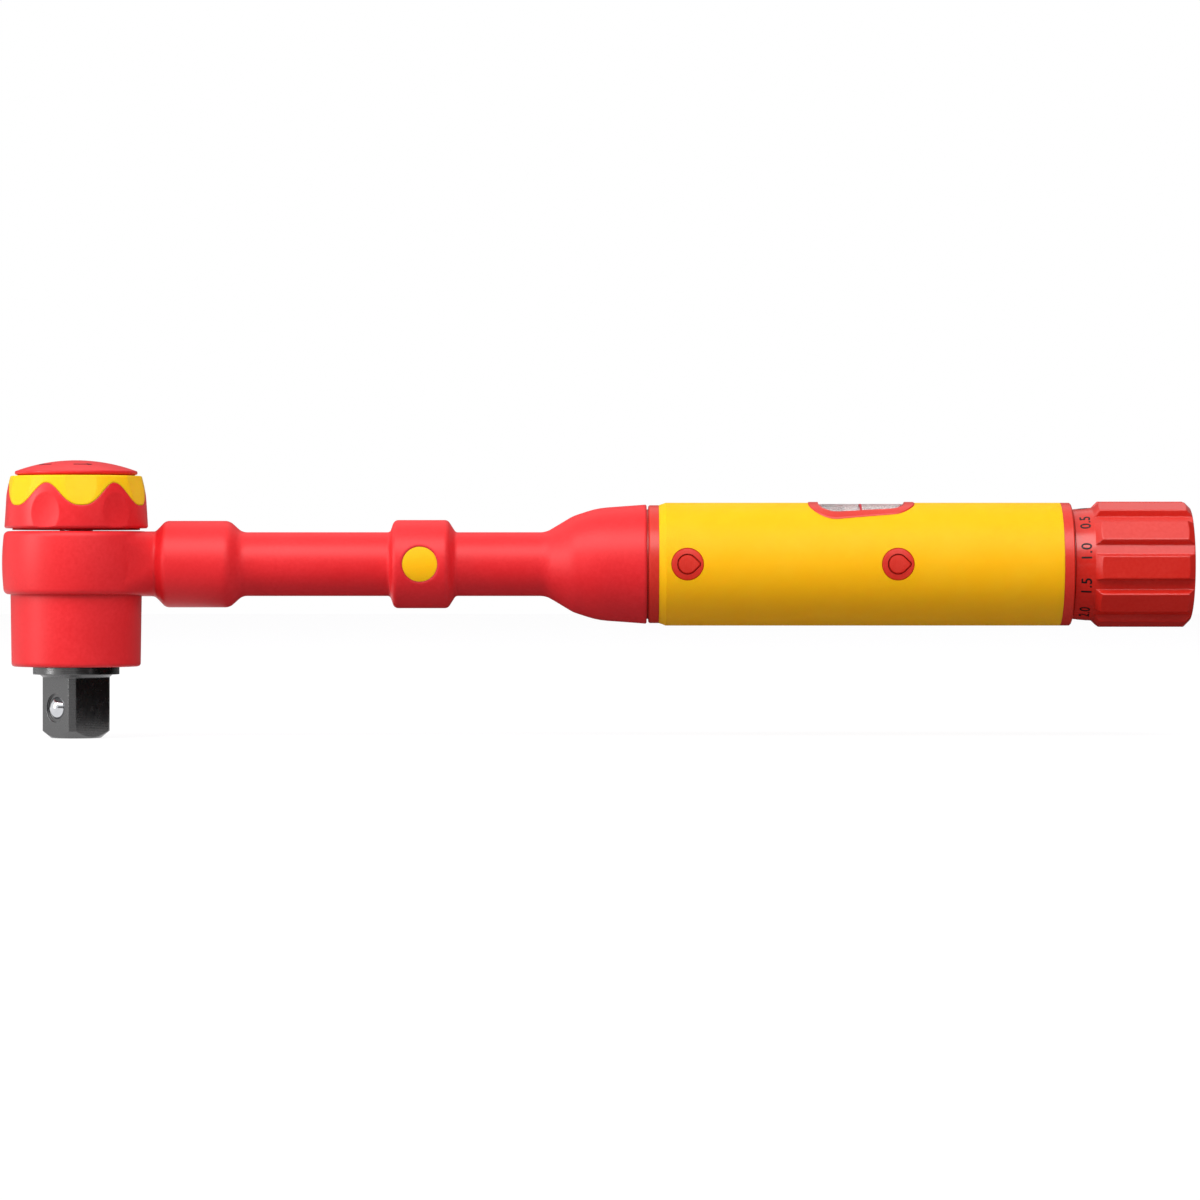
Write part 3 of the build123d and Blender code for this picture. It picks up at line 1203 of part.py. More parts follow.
# The nut that sets the spring, kept from turning by its key
with BuildPart() as adjusting_nut:
    rod(CARRIER_RADIUS - CARRIER_WALL - PRESS, NUT_START, NUT_START + NUT_LENGTH)
    with Locations((NUT_START, 0, HANDLE_Z)):
        Box(NUT_LENGTH, NUT_KEY_WIDTH, NUT_KEY_RADIUS, align=(Align.MIN, Align.CENTER, Align.MAX))
    rod(SETTER_RADIUS + RUN, NUT_START - 1, NUT_START + NUT_LENGTH + 1, mode=Mode.SUBTRACT)
adjusting_nut.part.label = "adjusting_nut"
export_step(adjusting_nut.part, "parts/adjusting_nut.step")

# The white sleeve that carries the scale
with BuildPart() as scale_carrier:
    rod(CARRIER_RADIUS, CARRIER_START, CARRIER_END)
    rod(CARRIER_RADIUS - CARRIER_WALL, CARRIER_START, CARRIER_END, mode=Mode.SUBTRACT)
    with Locations((CARRIER_START, 0, HANDLE_Z)):
        Box(
            CARRIER_END - CARRIER_START,
            NUT_KEY_WIDTH + 2 * PRESS,
            CARRIER_RADIUS + 1,
            align=(Align.MIN, Align.CENTER, Align.MAX),
            mode=Mode.SUBTRACT,
        )
scale_carrier.part.label = "scale_carrier"
export_step(scale_carrier.part, "parts/scale_carrier.step")

# The spindle that drives the nut: screw, flange, journal and square end
with BuildPart() as adjusting_spindle:
    rod(SETTER_RADIUS, SETTER_START, KNOB_WALL_START)
    rod(SETTER_FLANGE_RADIUS, SETTER_FLANGE_START, SETTER_FLANGE_START + SETTER_FLANGE)
    bar(SETTER_SQUARE, SETTER_SQUARE, KNOB_WALL_START - 1, KNOB_WALL_END - PRESS)
    rod(
        KNOB_SCREW_RADIUS + PRESS,
        KNOB_WALL_END - KNOB_SCREW_LENGTH - GAP,
        KNOB_WALL_END,
        mode=Mode.SUBTRACT,
    )
adjusting_spindle.part.label = "adjusting_spindle"
export_step(adjusting_spindle.part, "parts/adjusting_spindle.step")

# The spindle's bearing in the tube's end
with BuildPart() as end_bush:
    rod(TUBE_BORE - PRESS, BUSH_START, TUBE_END)
    rod(SETTER_RADIUS + RUN, BUSH_START - 1, TUBE_END + 1, mode=Mode.SUBTRACT)
end_bush.part.label = "end_bush"
export_step(end_bush.part, "parts/end_bush.step")

# The o-ring whose drag holds the knob where it is set
with BuildPart() as knob_seal:
    with Locations(station(SEAL_X).location):
        Torus(SEAL_RADIUS, SEAL_SECTION)
knob_seal.part.label = "knob_seal"
export_step(knob_seal.part, "parts/knob_seal.step")

# The red sleeve of the grip: rings, screw bosses and the window's frame
with BuildPart() as grip_sleeve:
    rod(SLEEVE_FRONT_RADIUS, SLEEVE_START, SLEEVE_START + SLEEVE_RING)
    rod(SLEEVE_RADIUS, SLEEVE_START + SLEEVE_RING, SLEEVE_END - SLEEVE_RING)
    rod(GRIP_RADIUS, SLEEVE_END - SLEEVE_RING, SLEEVE_END)
    end_edges = grip_sleeve.edges().filter_by(GeomType.CIRCLE).group_by(Axis.X)
    chamfer(end_edges[0] + end_edges[-1], SLEEVE_CHAMFER)
    rod(SPIGOT_RADIUS, SLEEVE_START - SPIGOT_LENGTH, SLEEVE_START + SLEEVE_RING)
    add(boss_form(0, GRIP_RADIUS))
    add(frame_form())
    rod(TUBE_RADIUS + PRESS, SLEEVE_START - SPIGOT_LENGTH - 1, SLEEVE_END + 1, mode=Mode.SUBTRACT)
    add(
        window_block(FRAME_END_WALL - PRESS, FRAME_WALL - PRESS, LENS_SEAT_RADIUS - PRESS, GRIP_RADIUS + 1),
        mode=Mode.SUBTRACT,
    )
    add(
        window_block(FRAME_END_WALL + LENS_LEDGE, FRAME_WALL + LENS_LEDGE, 0, GRIP_RADIUS + 1),
        mode=Mode.SUBTRACT,
    )
    add(cross_rods(SCREW_RADIUS + 2 * PRESS, TUBE_RADIUS - 1, SCREW_SEAT), mode=Mode.SUBTRACT)
    add(cross_rods(SCREW_HEAD_RADIUS + 2 * PRESS, SCREW_SEAT, GRIP_RADIUS), mode=Mode.SUBTRACT)
    add(plug_form(PLUG_PLAY, PLUG_BOTTOM - PRESS, GRIP_RADIUS + 1), mode=Mode.SUBTRACT)
grip_sleeve.part.label = "grip_sleeve"
export_step(grip_sleeve.part, "parts/grip_sleeve.step")

# The yellow soft cover moulded on the sleeve
with BuildPart() as grip_cover:
    with BuildSketch(side_plane()):
        with BuildLine():
            Polyline(
                (SLEEVE_START + SLEEVE_RING + BOND, SLEEVE_RADIUS + BOND),
                (SLEEVE_START + SLEEVE_RING + BOND, SLEEVE_FRONT_RADIUS),
                (SLEEVE_START + SLEEVE_RING + COVER_RISE, GRIP_RADIUS),
                (SLEEVE_END - SLEEVE_RING - BOND, GRIP_RADIUS),
                (SLEEVE_END - SLEEVE_RING - BOND, SLEEVE_RADIUS + BOND),
                close=True,
            )
        make_face()
    revolve(axis=HANDLE_AXIS)
    add(boss_form(BOND, GRIP_RADIUS + 1), mode=Mode.SUBTRACT)
    add(window_block(-BOND, -BOND, 0, FRAME_RADIUS + 1), mode=Mode.SUBTRACT)
grip_cover.part.label = "grip_cover"
export_step(grip_cover.part, "parts/grip_cover.step")

# The clear magnifier over the scale
with BuildPart() as window_lens:
    add(window_block(FRAME_END_WALL, FRAME_WALL, LENS_SEAT_RADIUS, LENS_RADIUS))
window_lens.part.label = "window_lens"
export_step(window_lens.part, "parts/window_lens.step")

# The screws that hold the sleeve on the tube
with BuildPart() as grip_screws:
    add(cross_rods(SCREW_RADIUS, SCREW_TIP, SCREW_SEAT + PRESS))
    add(cross_rods(SCREW_HEAD_RADIUS, SCREW_SEAT + PRESS, SCREW_SEAT + SCREW_HEAD_HEIGHT))
grip_screws.part.label = "grip_screws"
export_step(grip_screws.part, "parts/grip_screws.step")

# The red plugs over the screws
with BuildPart() as grip_plugs:
    add(plug_form(0, PLUG_BOTTOM, PLUG_TOP))
    chamfer(grip_plugs.edges().group_by(outside)[-1], PLUG_EDGE)
grip_plugs.part.label = "grip_plugs"
export_step(grip_plugs.part, "parts/grip_plugs.step")

# The setting knob: numbered neck, flat lands with grooves between them, square hole
with BuildPart() as knob:
    with BuildSketch(station(KNOB_NECK_END)) as outline:
        RegularPolygon(KNOB_LAND_RADIUS, KNOB_LANDS, major_radius=False, rotation=KNOB_GROOVE_ANGLE)
        with PolarLocations(KNOB_GROOVE_RADIUS, KNOB_LANDS, start_angle=KNOB_GROOVE_ANGLE):
            Polygon(
                (0, -KNOB_GROOVE_WIDTH / 2),
                (0, KNOB_GROOVE_WIDTH / 2),
                (KNOB_GROOVE_DEPTH, KNOB_EDGE_WIDTH / 2),
                (2 * KNOB_GROOVE_DEPTH, KNOB_EDGE_WIDTH / 2),
                (2 * KNOB_GROOVE_DEPTH, -KNOB_EDGE_WIDTH / 2),
                (KNOB_GROOVE_DEPTH, -KNOB_EDGE_WIDTH / 2),
                align=None,
                mode=Mode.SUBTRACT,
            )
        fillet(outline.vertices().filter_by(on_knob_rim), KNOB_ROUND)
    extrude(amount=KNOB_END - KNOB_NECK_END)
    with BuildSketch(side_plane()) as profile:
        with BuildLine():
            Polyline(
                (KNOB_NECK_END, 0),
                (KNOB_NECK_END, KNOB_GROOVE_RADIUS),
                (KNOB_NECK_END + KNOB_OUTER_RADIUS - KNOB_GROOVE_RADIUS, KNOB_OUTER_RADIUS),
                (KNOB_END - KNOB_CHAMFER, KNOB_OUTER_RADIUS),
                (KNOB_END, KNOB_OUTER_RADIUS - KNOB_CHAMFER),
                (KNOB_END, 0),
                close=True,
            )
        make_face()
        fillet(profile.vertices().group_by(Axis.Y)[-1], KNOB_END_ROUND)
        fillet(profile.vertices().group_by(Axis.X)[-1].sort_by(Axis.Y)[-1], KNOB_END_ROUND)
    revolve(axis=HANDLE_AXIS, mode=Mode.INTERSECT)
    with Locations(station(KNOB_START).location):
        Cone(
            KNOB_NECK_RADIUS,
            KNOB_GROOVE_RADIUS,
            KNOB_NECK_END - KNOB_START,
            align=(Align.CENTER, Align.CENTER, Align.MIN),
        )
    rod(KNOB_BORE, KNOB_START - 1, KNOB_WALL_START, mode=Mode.SUBTRACT)
    bar(
        SETTER_SQUARE + 2 * PRESS,
        SETTER_SQUARE + 2 * PRESS,
        KNOB_WALL_START - 1,
        KNOB_WALL_END + 1,
        mode=Mode.SUBTRACT,
    )
    rod(KNOB_RECESS_RADIUS, KNOB_WALL_END, KNOB_END + 1, mode=Mode.SUBTRACT)
knob.part.label = "knob"
export_step(knob.part, "parts/knob.step")

# The screw that holds the knob on the spindle
with BuildPart() as knob_screw:
    rod(KNOB_SCREW_RADIUS, KNOB_WALL_END - KNOB_SCREW_LENGTH, KNOB_WALL_END + PRESS)
    rod(KNOB_SCREW_HEAD_RADIUS, KNOB_WALL_END + PRESS, KNOB_WALL_END + KNOB_SCREW_HEAD)
    with BuildSketch(station(KNOB_WALL_END + KNOB_SCREW_HEAD)):
        RegularPolygon(KNOB_SCREW_SOCKET / 2, 6, major_radius=False)
    extrude(amount=-KNOB_SCREW_SOCKET_DEPTH, mode=Mode.SUBTRACT)
knob_screw.part.label = "knob_screw"
export_step(knob_screw.part, "parts/knob_screw.step")

# The insulating cap over the screw
with BuildPart() as knob_cap:
    rod(KNOB_RECESS_RADIUS - PRESS, KNOB_END - KNOB_CAP_SINK - KNOB_CAP_THICKNESS, KNOB_END - KNOB_CAP_SINK)
    chamfer(knob_cap.edges().group_by(Axis.X)[-1], KNOB_CAP_SINK)
knob_cap.part.label = "knob_cap"
export_step(knob_cap.part, "parts/knob_cap.step")
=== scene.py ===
"""Finishes, print, springs and studio of an insulated click-type torque wrench on its CAD frame.

Everything is in metres in the CAD frame: X runs from the square drive to the setting knob, Z is up
and the camera looks along +Y. Every piece of the CAD model keeps its shape and gets its finish here.
Made here are the printed scales, the hairline of the window, the turning marks of the dial, and two
coils that stand in for springs.
"""

import json
import logging
import math
from dataclasses import dataclass
from enum import Enum
from typing import Callable

import bpy
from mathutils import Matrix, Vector

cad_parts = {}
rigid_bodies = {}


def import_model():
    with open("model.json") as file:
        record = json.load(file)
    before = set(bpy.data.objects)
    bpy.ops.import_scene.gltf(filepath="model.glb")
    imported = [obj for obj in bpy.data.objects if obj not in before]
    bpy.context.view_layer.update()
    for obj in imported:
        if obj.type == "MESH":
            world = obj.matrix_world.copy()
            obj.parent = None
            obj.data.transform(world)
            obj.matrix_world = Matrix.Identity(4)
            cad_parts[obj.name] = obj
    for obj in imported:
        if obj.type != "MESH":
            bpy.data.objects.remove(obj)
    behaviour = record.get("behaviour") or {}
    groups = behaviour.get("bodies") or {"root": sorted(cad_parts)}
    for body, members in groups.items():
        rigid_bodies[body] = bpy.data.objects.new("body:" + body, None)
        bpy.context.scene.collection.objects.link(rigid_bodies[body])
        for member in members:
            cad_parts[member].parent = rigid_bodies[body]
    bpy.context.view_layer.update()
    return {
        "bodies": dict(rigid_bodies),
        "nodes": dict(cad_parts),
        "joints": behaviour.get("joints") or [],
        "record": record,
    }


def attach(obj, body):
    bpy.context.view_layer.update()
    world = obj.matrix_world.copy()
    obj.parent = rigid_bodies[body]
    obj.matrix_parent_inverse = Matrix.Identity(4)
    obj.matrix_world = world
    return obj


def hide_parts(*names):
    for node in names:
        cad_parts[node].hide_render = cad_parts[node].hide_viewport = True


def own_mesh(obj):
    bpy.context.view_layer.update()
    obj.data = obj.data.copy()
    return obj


MM = 0.001
HANDLE_Z = 42.1 * MM

# Points of a mesh that lie nearer than this are one point.
MERGE_GAP = 0.001 * MM

# Width of one band of a wave texture at a scale of 1.
WAVE_BAND = 0.314

# Height of a digit of the plain font as a share of the text size, and its letter spacing.
DIGIT_SHARE = 0.729
LETTER_SPACING = 1.06

LOG = logging.getLogger("torque_wrench")


class Body(Enum):
    """The moving bodies of the CAD model that the pieces made here ride on."""

    HANDLE = "handle"
    DRIVE = "drive"
    DIAL = "dial"
    SETTING = "setting"
    SETTER = "setter"


class MouldTexture(Enum):
    """Spark-eroded mould textures: grain size and depth in millimetres.

    Real grains are 0.05 to 0.2 mm, below a pixel of the picture, so they are drawn a little coarser.
    """

    POLISHED = (0.60, 0.0008)
    FINE = (0.28, 0.0020)
    MEDIUM = (0.42, 0.0065)
    SOFT = (0.55, 0.0050)


def linear(colour: str) -> tuple[float, float, float, float]:
    """Turns an sRGB hex colour into a linear one.

    Args:
        colour: six hex digits with a leading #.

    Returns:
        Red, green, blue and an alpha of 1.
    """
    parts = [int(colour[i : i + 2], 16) / 255 for i in (1, 3, 5)]
    lit = [c / 12.92 if c <= 0.04045 else ((c + 0.055) / 1.055) ** 2.4 for c in parts]
    return (lit[0], lit[1], lit[2], 1.0)


def per_metre(size_mm: float) -> float:
    """Returns the texture scale at which one cell of a pattern is size_mm wide."""
    return 1.0 / (size_mm * MM)


def add_node(
    tree: bpy.types.NodeTree, kind: str, inputs: dict | None = None, **settings: object
) -> bpy.types.Node:
    """Adds a shader node, with its settings, its values and the links into it.

    Args:
        tree: the material's or world's node tree.
        kind: the node's type.
        inputs: for each input, by name or number, a value or an output socket to link.
        settings: attributes of the node itself.

    Returns:
        The new node.
    """
    node = tree.nodes.new(kind)
    for key, value in settings.items():
        setattr(node, key, value)
    for key, value in (inputs or {}).items():
        if isinstance(value, bpy.types.NodeSocket):
            tree.links.new(value, node.inputs[key])
        else:
            node.inputs[key].default_value = value
    return node


def new_material(name: str) -> tuple[bpy.types.Material, bpy.types.NodeTree]:
    """Makes an empty node material.

    Args:
        name: its name.

    Returns:
        The material and its tree.
    """
    material = bpy.data.materials.new(name)
    material.use_nodes = True
    material.node_tree.nodes.clear()
    return material, material.node_tree


def finish_tree(tree: bpy.types.NodeTree, shader: bpy.types.Node) -> None:
    """Links a shader to the tree's output."""
    add_node(tree, "ShaderNodeOutputMaterial", {"Surface": shader.outputs[0]})


def patches(
    tree: bpy.types.NodeTree,
    place: bpy.types.NodeSocket,
    size_mm: float,
    detail: float,
    roughness: float = 0.5,
) -> bpy.types.NodeSocket:
    """Adds a soft random pattern.

    Args:
        tree: the material's tree.
        place: the coordinates it lies in.
        size_mm: width of one patch in millimetres.
        detail: how many finer layers it has.
        roughness: how much the finer layers count.

    Returns:
        The pattern, from 0 to 1.
    """
    scale = per_metre(size_mm)
    inputs = {"Vector": place, "Scale": scale, "Detail": detail, "Roughness": roughness}
    return add_node(tree, "ShaderNodeTexNoise", inputs).outputs["Fac"]


def tool_lines(
    tree: bpy.types.NodeTree,
    place: bpy.types.NodeSocket,
    pitch_mm: float,
    axis: str,
    wander: tuple[float, float, float],
) -> bpy.types.NodeSocket:
    """Adds the even lines that a tool leaves.

    Args:
        tree: the material's tree.
        place: the coordinates they lie in.
        pitch_mm: their pitch in millimetres.
        axis: the axis that they follow one another along.
        wander: how far they stray, with how many finer layers, and how fine these are.

    Returns:
        The height of the lines, from 0 to 1.
    """
    inputs = {
        "Vector": place,
        "Scale": per_metre(pitch_mm) * WAVE_BAND,
        "Distortion": wander[0],
        "Detail": wander[1],
        "Detail Scale": wander[2],
    }
    return add_node(tree, "ShaderNodeTexWave", inputs, bands_direction=axis).outputs["Fac"]


def spread(
    tree: bpy.types.NodeTree,
    value: bpy.types.NodeSocket,
    start: tuple[float, float] = (0.0, 1.0),
    end: tuple[float, float] = (0.0, 1.0),
) -> bpy.types.NodeSocket:
    """Maps a value from one range to another.

    Args:
        tree: the material's or world's tree.
        value: the value.
        start: the range that is read, cut off at its ends.
        end: the range that it becomes.

    Returns:
        The mapped value.
    """
    inputs = {
        "Value": value,
        "From Min": start[0],
        "From Max": start[1],
        "To Min": end[0],
        "To Max": end[1],
    }
    return add_node(tree, "ShaderNodeMapRange", inputs).outputs[0]


def blend(
    tree: bpy.types.NodeTree, amount: bpy.types.NodeSocket, first: str, second: str
) -> bpy.types.NodeSocket:
    """Mixes two colours.

    Args:
        tree: the material's tree.
        amount: 0 for the first colour to 1 for the second.
        first: sRGB hex colour.
        second: sRGB hex colour.

    Returns:
        The mixed colour.
    """
    inputs = {"Factor": amount, "A": linear(first), "B": linear(second)}
    return add_node(tree, "ShaderNodeMix", inputs, data_type="RGBA").outputs[2]


def combine(
    tree: bpy.types.NodeTree,
    kind: str,
    first: bpy.types.NodeSocket,
    second: bpy.types.NodeSocket | float,
) -> bpy.types.NodeSocket:
    """Joins two values by one operation.

    Args:
        tree: the material's or world's tree.
        kind: the operation, such as MULTIPLY or MAXIMUM.
        first: a value.
        second: another value.

    Returns:
        The result.
    """
    return add_node(tree, "ShaderNodeMath", {0: first, 1: second}, operation=kind).outputs[0]


def raise_up(
    tree: bpy.types.NodeTree,
    height: bpy.types.NodeSocket,
    depth_mm: float,
    below: bpy.types.NodeSocket | None = None,
) -> bpy.types.NodeSocket:
    """Adds the bump of a height pattern.

    Args:
        tree: the material's tree.
        height: the pattern, from 0 to 1.
        depth_mm: how deep it is in millimetres.
        below: the normal of a coarser form that it lies on.

    Returns:
        The bumped normal.
    """
    inputs = {"Height": height, "Distance": depth_mm * MM}
    if below is not None:
        inputs["Normal"] = below
    return add_node(tree, "ShaderNodeBump", inputs).outputs[0]


def round_edges(tree: bpy.types.NodeTree, radius_mm: float, samples: int) -> bpy.types.NodeSocket:
    """Returns the normal of a form whose edges are rounded to radius_mm."""
    inputs = {"Radius": radius_mm * MM}
    return add_node(tree, "ShaderNodeBevel", inputs, samples=samples).outputs[0]


def mould_grain(
    tree: bpy.types.NodeTree,
    place: bpy.types.NodeSocket,
    texture: MouldTexture,
    below: bpy.types.NodeSocket | None = None,
) -> bpy.types.NodeSocket:
    """Adds the bump of a spark-eroded mould texture.

    Args:
        tree: the material's tree.
        place: the coordinates it lies in.
        texture: the grain.
        below: the normal of a coarser form that it lies on.

    Returns:
        The bumped normal.
    """
    size, depth = texture.value
    grain = patches(tree, place, size, detail=3.0, roughness=0.6)
    return raise_up(tree, grain, depth, below)


@dataclass(frozen=True)
class Finish:
    """A finish of the wrench: a named material with one surface shader."""

    name: str

    def surface(self, tree: bpy.types.NodeTree, place: bpy.types.NodeSocket) -> dict:
        """Builds the patterns of the finish.

        Args:
            tree: the material's tree.
            place: the object coordinates.

        Returns:
            What goes into the surface shader, by the names of its inputs.
        """
        raise NotImplementedError

    def make(self) -> bpy.types.Material:
        """Builds the material.

        Returns:
            The material.
        """
        material, tree = new_material(self.name)
        place = add_node(tree, "ShaderNodeTexCoord").outputs["Object"]
        inputs = self.surface(tree, place)
        finish_tree(tree, add_node(tree, "ShaderNodeBsdfPrincipled", inputs))
        return material


@dataclass(frozen=True)
class MouldedPolyamide(Finish):
    """Insulating polyamide, injection moulded in a spark-eroded mould.

    The eye gets a strong even colour, a wide soft highlight and a fine grain that breaks it up.
    """

    colour: str
    pale: str
    texture: MouldTexture
    roughness: float = 0.42
    gloss: float = 0.5
    line_pitch: float = 0.0
    edge_round: float = 0.0

    def surface(self, tree: bpy.types.NodeTree, place: bpy.types.NodeSocket) -> dict:
        """Builds the flow marks, the grain and the form's rounded edges and turned lines.

        Args:
            tree: the material's tree.
            place: the object coordinates.

        Returns:
            What goes into the surface shader.
        """
        flow = patches(tree, place, size_mm=14.0, detail=4.0, roughness=0.55)
        speck = patches(tree, place, size_mm=0.8, detail=2.0)
        tint = spread(tree, combine(tree, "MULTIPLY", flow, speck), start=(0.12, 0.45))
        rough = (self.roughness - 0.05, self.roughness + 0.06)
        return {
            "Base Color": blend(tree, tint, self.colour, self.pale),
            "Roughness": spread(tree, speck, end=rough),
            "Normal": mould_grain(tree, place, self.texture, self.form(tree, place)),
            "IOR": 1.53,
            "Specular IOR Level": self.gloss,
        }

    def form(
        self, tree: bpy.types.NodeTree, place: bpy.types.NodeSocket
    ) -> bpy.types.NodeSocket | None:
        """Builds the form that the grain lies on.

        Args:
            tree: the material's tree.
            place: the object coordinates.

        Returns:
            The normal of the rounded edges and turned lines, or None on a plain moulding.
        """
        normal = round_edges(tree, self.edge_round, samples=6) if self.edge_round else None
        if self.line_pitch:
            lines = tool_lines(tree, place, self.line_pitch, "X", wander=(0.6, 2.0, 2.0))
            normal = raise_up(tree, lines, depth_mm=0.012, below=normal)
        return normal


@dataclass(frozen=True)
class SoftElastomer(Finish):
    """Thermoplastic elastomer, moulded over the hard sleeve.

    The eye gets a warm full yellow that glows a little in its shadows, and a dull silky highlight.
    """

    colour: str = "#FFB900"
    worn: str = "#FFBF14"
    roughness: float = 0.54
    edge_round: float = 0.0

    def surface(self, tree: bpy.types.NodeTree, place: bpy.types.NodeSocket) -> dict:
        """Builds the handling marks and a soft grain, on a slightly translucent body.

        Args:
            tree: the material's tree.
            place: the object coordinates.

        Returns:
            What goes into the surface shader.
        """
        rubbed = patches(tree, place, size_mm=9.0, detail=5.0, roughness=0.6)
        tint = spread(tree, rubbed, start=(0.42, 0.72), end=(0.0, 0.6))
        rough = (self.roughness + 0.06, self.roughness - 0.06)
        form = round_edges(tree, self.edge_round, samples=6) if self.edge_round else None
        return {
            "Base Color": blend(tree, tint, self.colour, self.worn),
            "Roughness": spread(tree, rubbed, end=rough),
            "Normal": mould_grain(tree, place, MouldTexture.SOFT, form),
            "IOR": 1.5,
            "Specular IOR Level": 0.18,
            "Subsurface Weight": 0.3,
            "Subsurface Radius": (1.0, 0.32, 0.08),
            "Subsurface Scale": 3.0 * MM,
        }


@dataclass(frozen=True)
class MachinedSteel(Finish):
    """Alloy steel, turned or ground and then finished.

    The eye gets a cool grey metal whose fine tool lines stretch the highlight across them.
    """

    colour: str
    stain: str
    roughness: float
    lines: str = "Z"
    pitch: float = 0.35

    def surface(self, tree: bpy.types.NodeTree, place: bpy.types.NodeSocket) -> dict:
        """Builds a faint stain on bare metal, with tool lines along one axis.

        Args:
            tree: the material's tree.
            place: the object coordinates.

        Returns:
            What goes into the surface shader.
        """
        stain = patches(tree, place, size_mm=3.0, detail=5.0)
        tint = spread(tree, stain, start=(0.45, 0.75))
        rough = (self.roughness - 0.06, self.roughness + 0.08)
        lines = tool_lines(tree, place, self.pitch, self.lines, wander=(1.2, 3.0, 4.0))
        return {
            "Base Color": blend(tree, tint, self.colour, self.stain),
            "Metallic": 1.0,
            "Roughness": spread(tree, stain, end=rough),
            "Normal": raise_up(tree, lines, depth_mm=0.004),
        }


@dataclass(frozen=True)
class BlackOxideSteel(Finish):
    """Chrome-vanadium steel, ground and blackened in hot salts.

    The eye gets a near black skin with an oily sheen, fine grinding lines and thin bare edges.
    """

    name: str = "black_oxide_steel"
    colour: str = "#08080A"
    bare: str = "#4A4B50"
    roughness: float = 0.25
    edge_round: float = 0.28
    pitch: float = 0.4

    def surface(self, tree: bpy.types.NodeTree, place: bpy.types.NodeSocket) -> dict:
        """Builds the dark skin, worn through where the edges turn.

        Args:
            tree: the material's tree.
            place: the object coordinates.

        Returns:
            What goes into the surface shader.
        """
        form = round_edges(tree, self.edge_round, samples=8)
        flat = add_node(tree, "ShaderNodeNewGeometry").outputs["Normal"]
        turn = add_node(
            tree, "ShaderNodeVectorMath", {0: form, 1: flat}, operation="DOT_PRODUCT"
        ).outputs["Value"]
        patch = patches(tree, place, size_mm=1.6, detail=4.0)
        edge = spread(tree, turn, start=(0.97, 0.80))
        worn = combine(tree, "MULTIPLY", edge, patch)
        grinding = tool_lines(tree, place, self.pitch, "Z", wander=(2.0, 3.0, 5.0))
        rough = (self.roughness - 0.06, self.roughness + 0.08)
        return {
            "Base Color": blend(tree, worn, self.colour, self.bare),
            "Metallic": 0.0,
            "Roughness": spread(tree, patch, end=rough),
            "Normal": raise_up(tree, grinding, depth_mm=0.003, below=form),
            "IOR": 2.1,
        }


@dataclass(frozen=True)
class ClearPolycarbonate(Finish):
    """Polycarbonate, moulded clear and polished.

    The eye gets the scale below it, bent a little, under sharp pale reflections.
    """

    name: str = "clear_polycarbonate"
    colour: str = "#F6FAFC"
    roughness: float = 0.03
    alpha: float = 0.55

    def surface(self, tree: bpy.types.NodeTree, place: bpy.types.NodeSocket) -> dict:
        """Builds the faint wiping marks in the gloss of a clear body.

        Args:
            tree: the material's tree.
            place: the object coordinates.

        Returns:
            What goes into the surface shader.
        """
        wiped = patches(tree, place, size_mm=2.5, detail=6.0)
        rough = (self.roughness, self.roughness + 0.05)
        return {
            "Base Color": linear(self.colour),
            "Roughness": spread(tree, wiped, start=(0.4, 0.8), end=rough),
            "IOR": 1.585,
            "Transmission Weight": 1.0,
            "Alpha": self.alpha,
        }


@dataclass(frozen=True)
class DullRubber(Finish):
    """Nitrile rubber, compression moulded.

    The eye gets a dead black with a faint grey bloom.
    """

    name: str = "nitrile_rubber"
    colour: str = "#141414"
    bloom: str = "#2C2C2B"

    def surface(self, tree: bpy.types.NodeTree, place: bpy.types.NodeSocket) -> dict:
        """Builds the bloom, in patches on matt black.

        Args:
            tree: the material's tree.
            place: the object coordinates.

        Returns:
            What goes into the surface shader.
        """
        patch = patches(tree, place, size_mm=2.0, detail=5.0)
        return {
            "Base Color": blend(tree, patch, self.colour, self.bloom),
            "Roughness": 0.62,
            "Normal": mould_grain(tree, place, MouldTexture.FINE),
            "IOR": 1.52,
        }


@dataclass(frozen=True)
class PadPrint(Finish):
    """Two-part ink, pad printed.

    The eye gets a thin flat film, a little uneven and duller than the plastic.
    """

    colour: str
    thin: str

    def surface(self, tree: bpy.types.NodeTree, place: bpy.types.NodeSocket) -> dict:
        """Builds the ink, whose cover varies with the pad's pressure.

        Args:
            tree: the material's tree.
            place: the object coordinates.

        Returns:
            What goes into the surface shader.
        """
        patch = patches(tree, place, size_mm=0.5, detail=3.0)
        cover = spread(tree, patch, start=(0.5, 0.8), end=(0.0, 0.7))
        return {
            "Base Color": blend(tree, cover, self.colour, self.thin),
            "Roughness": 0.5,
            "IOR": 1.5,
            "Specular IOR Level": 0.25,
        }


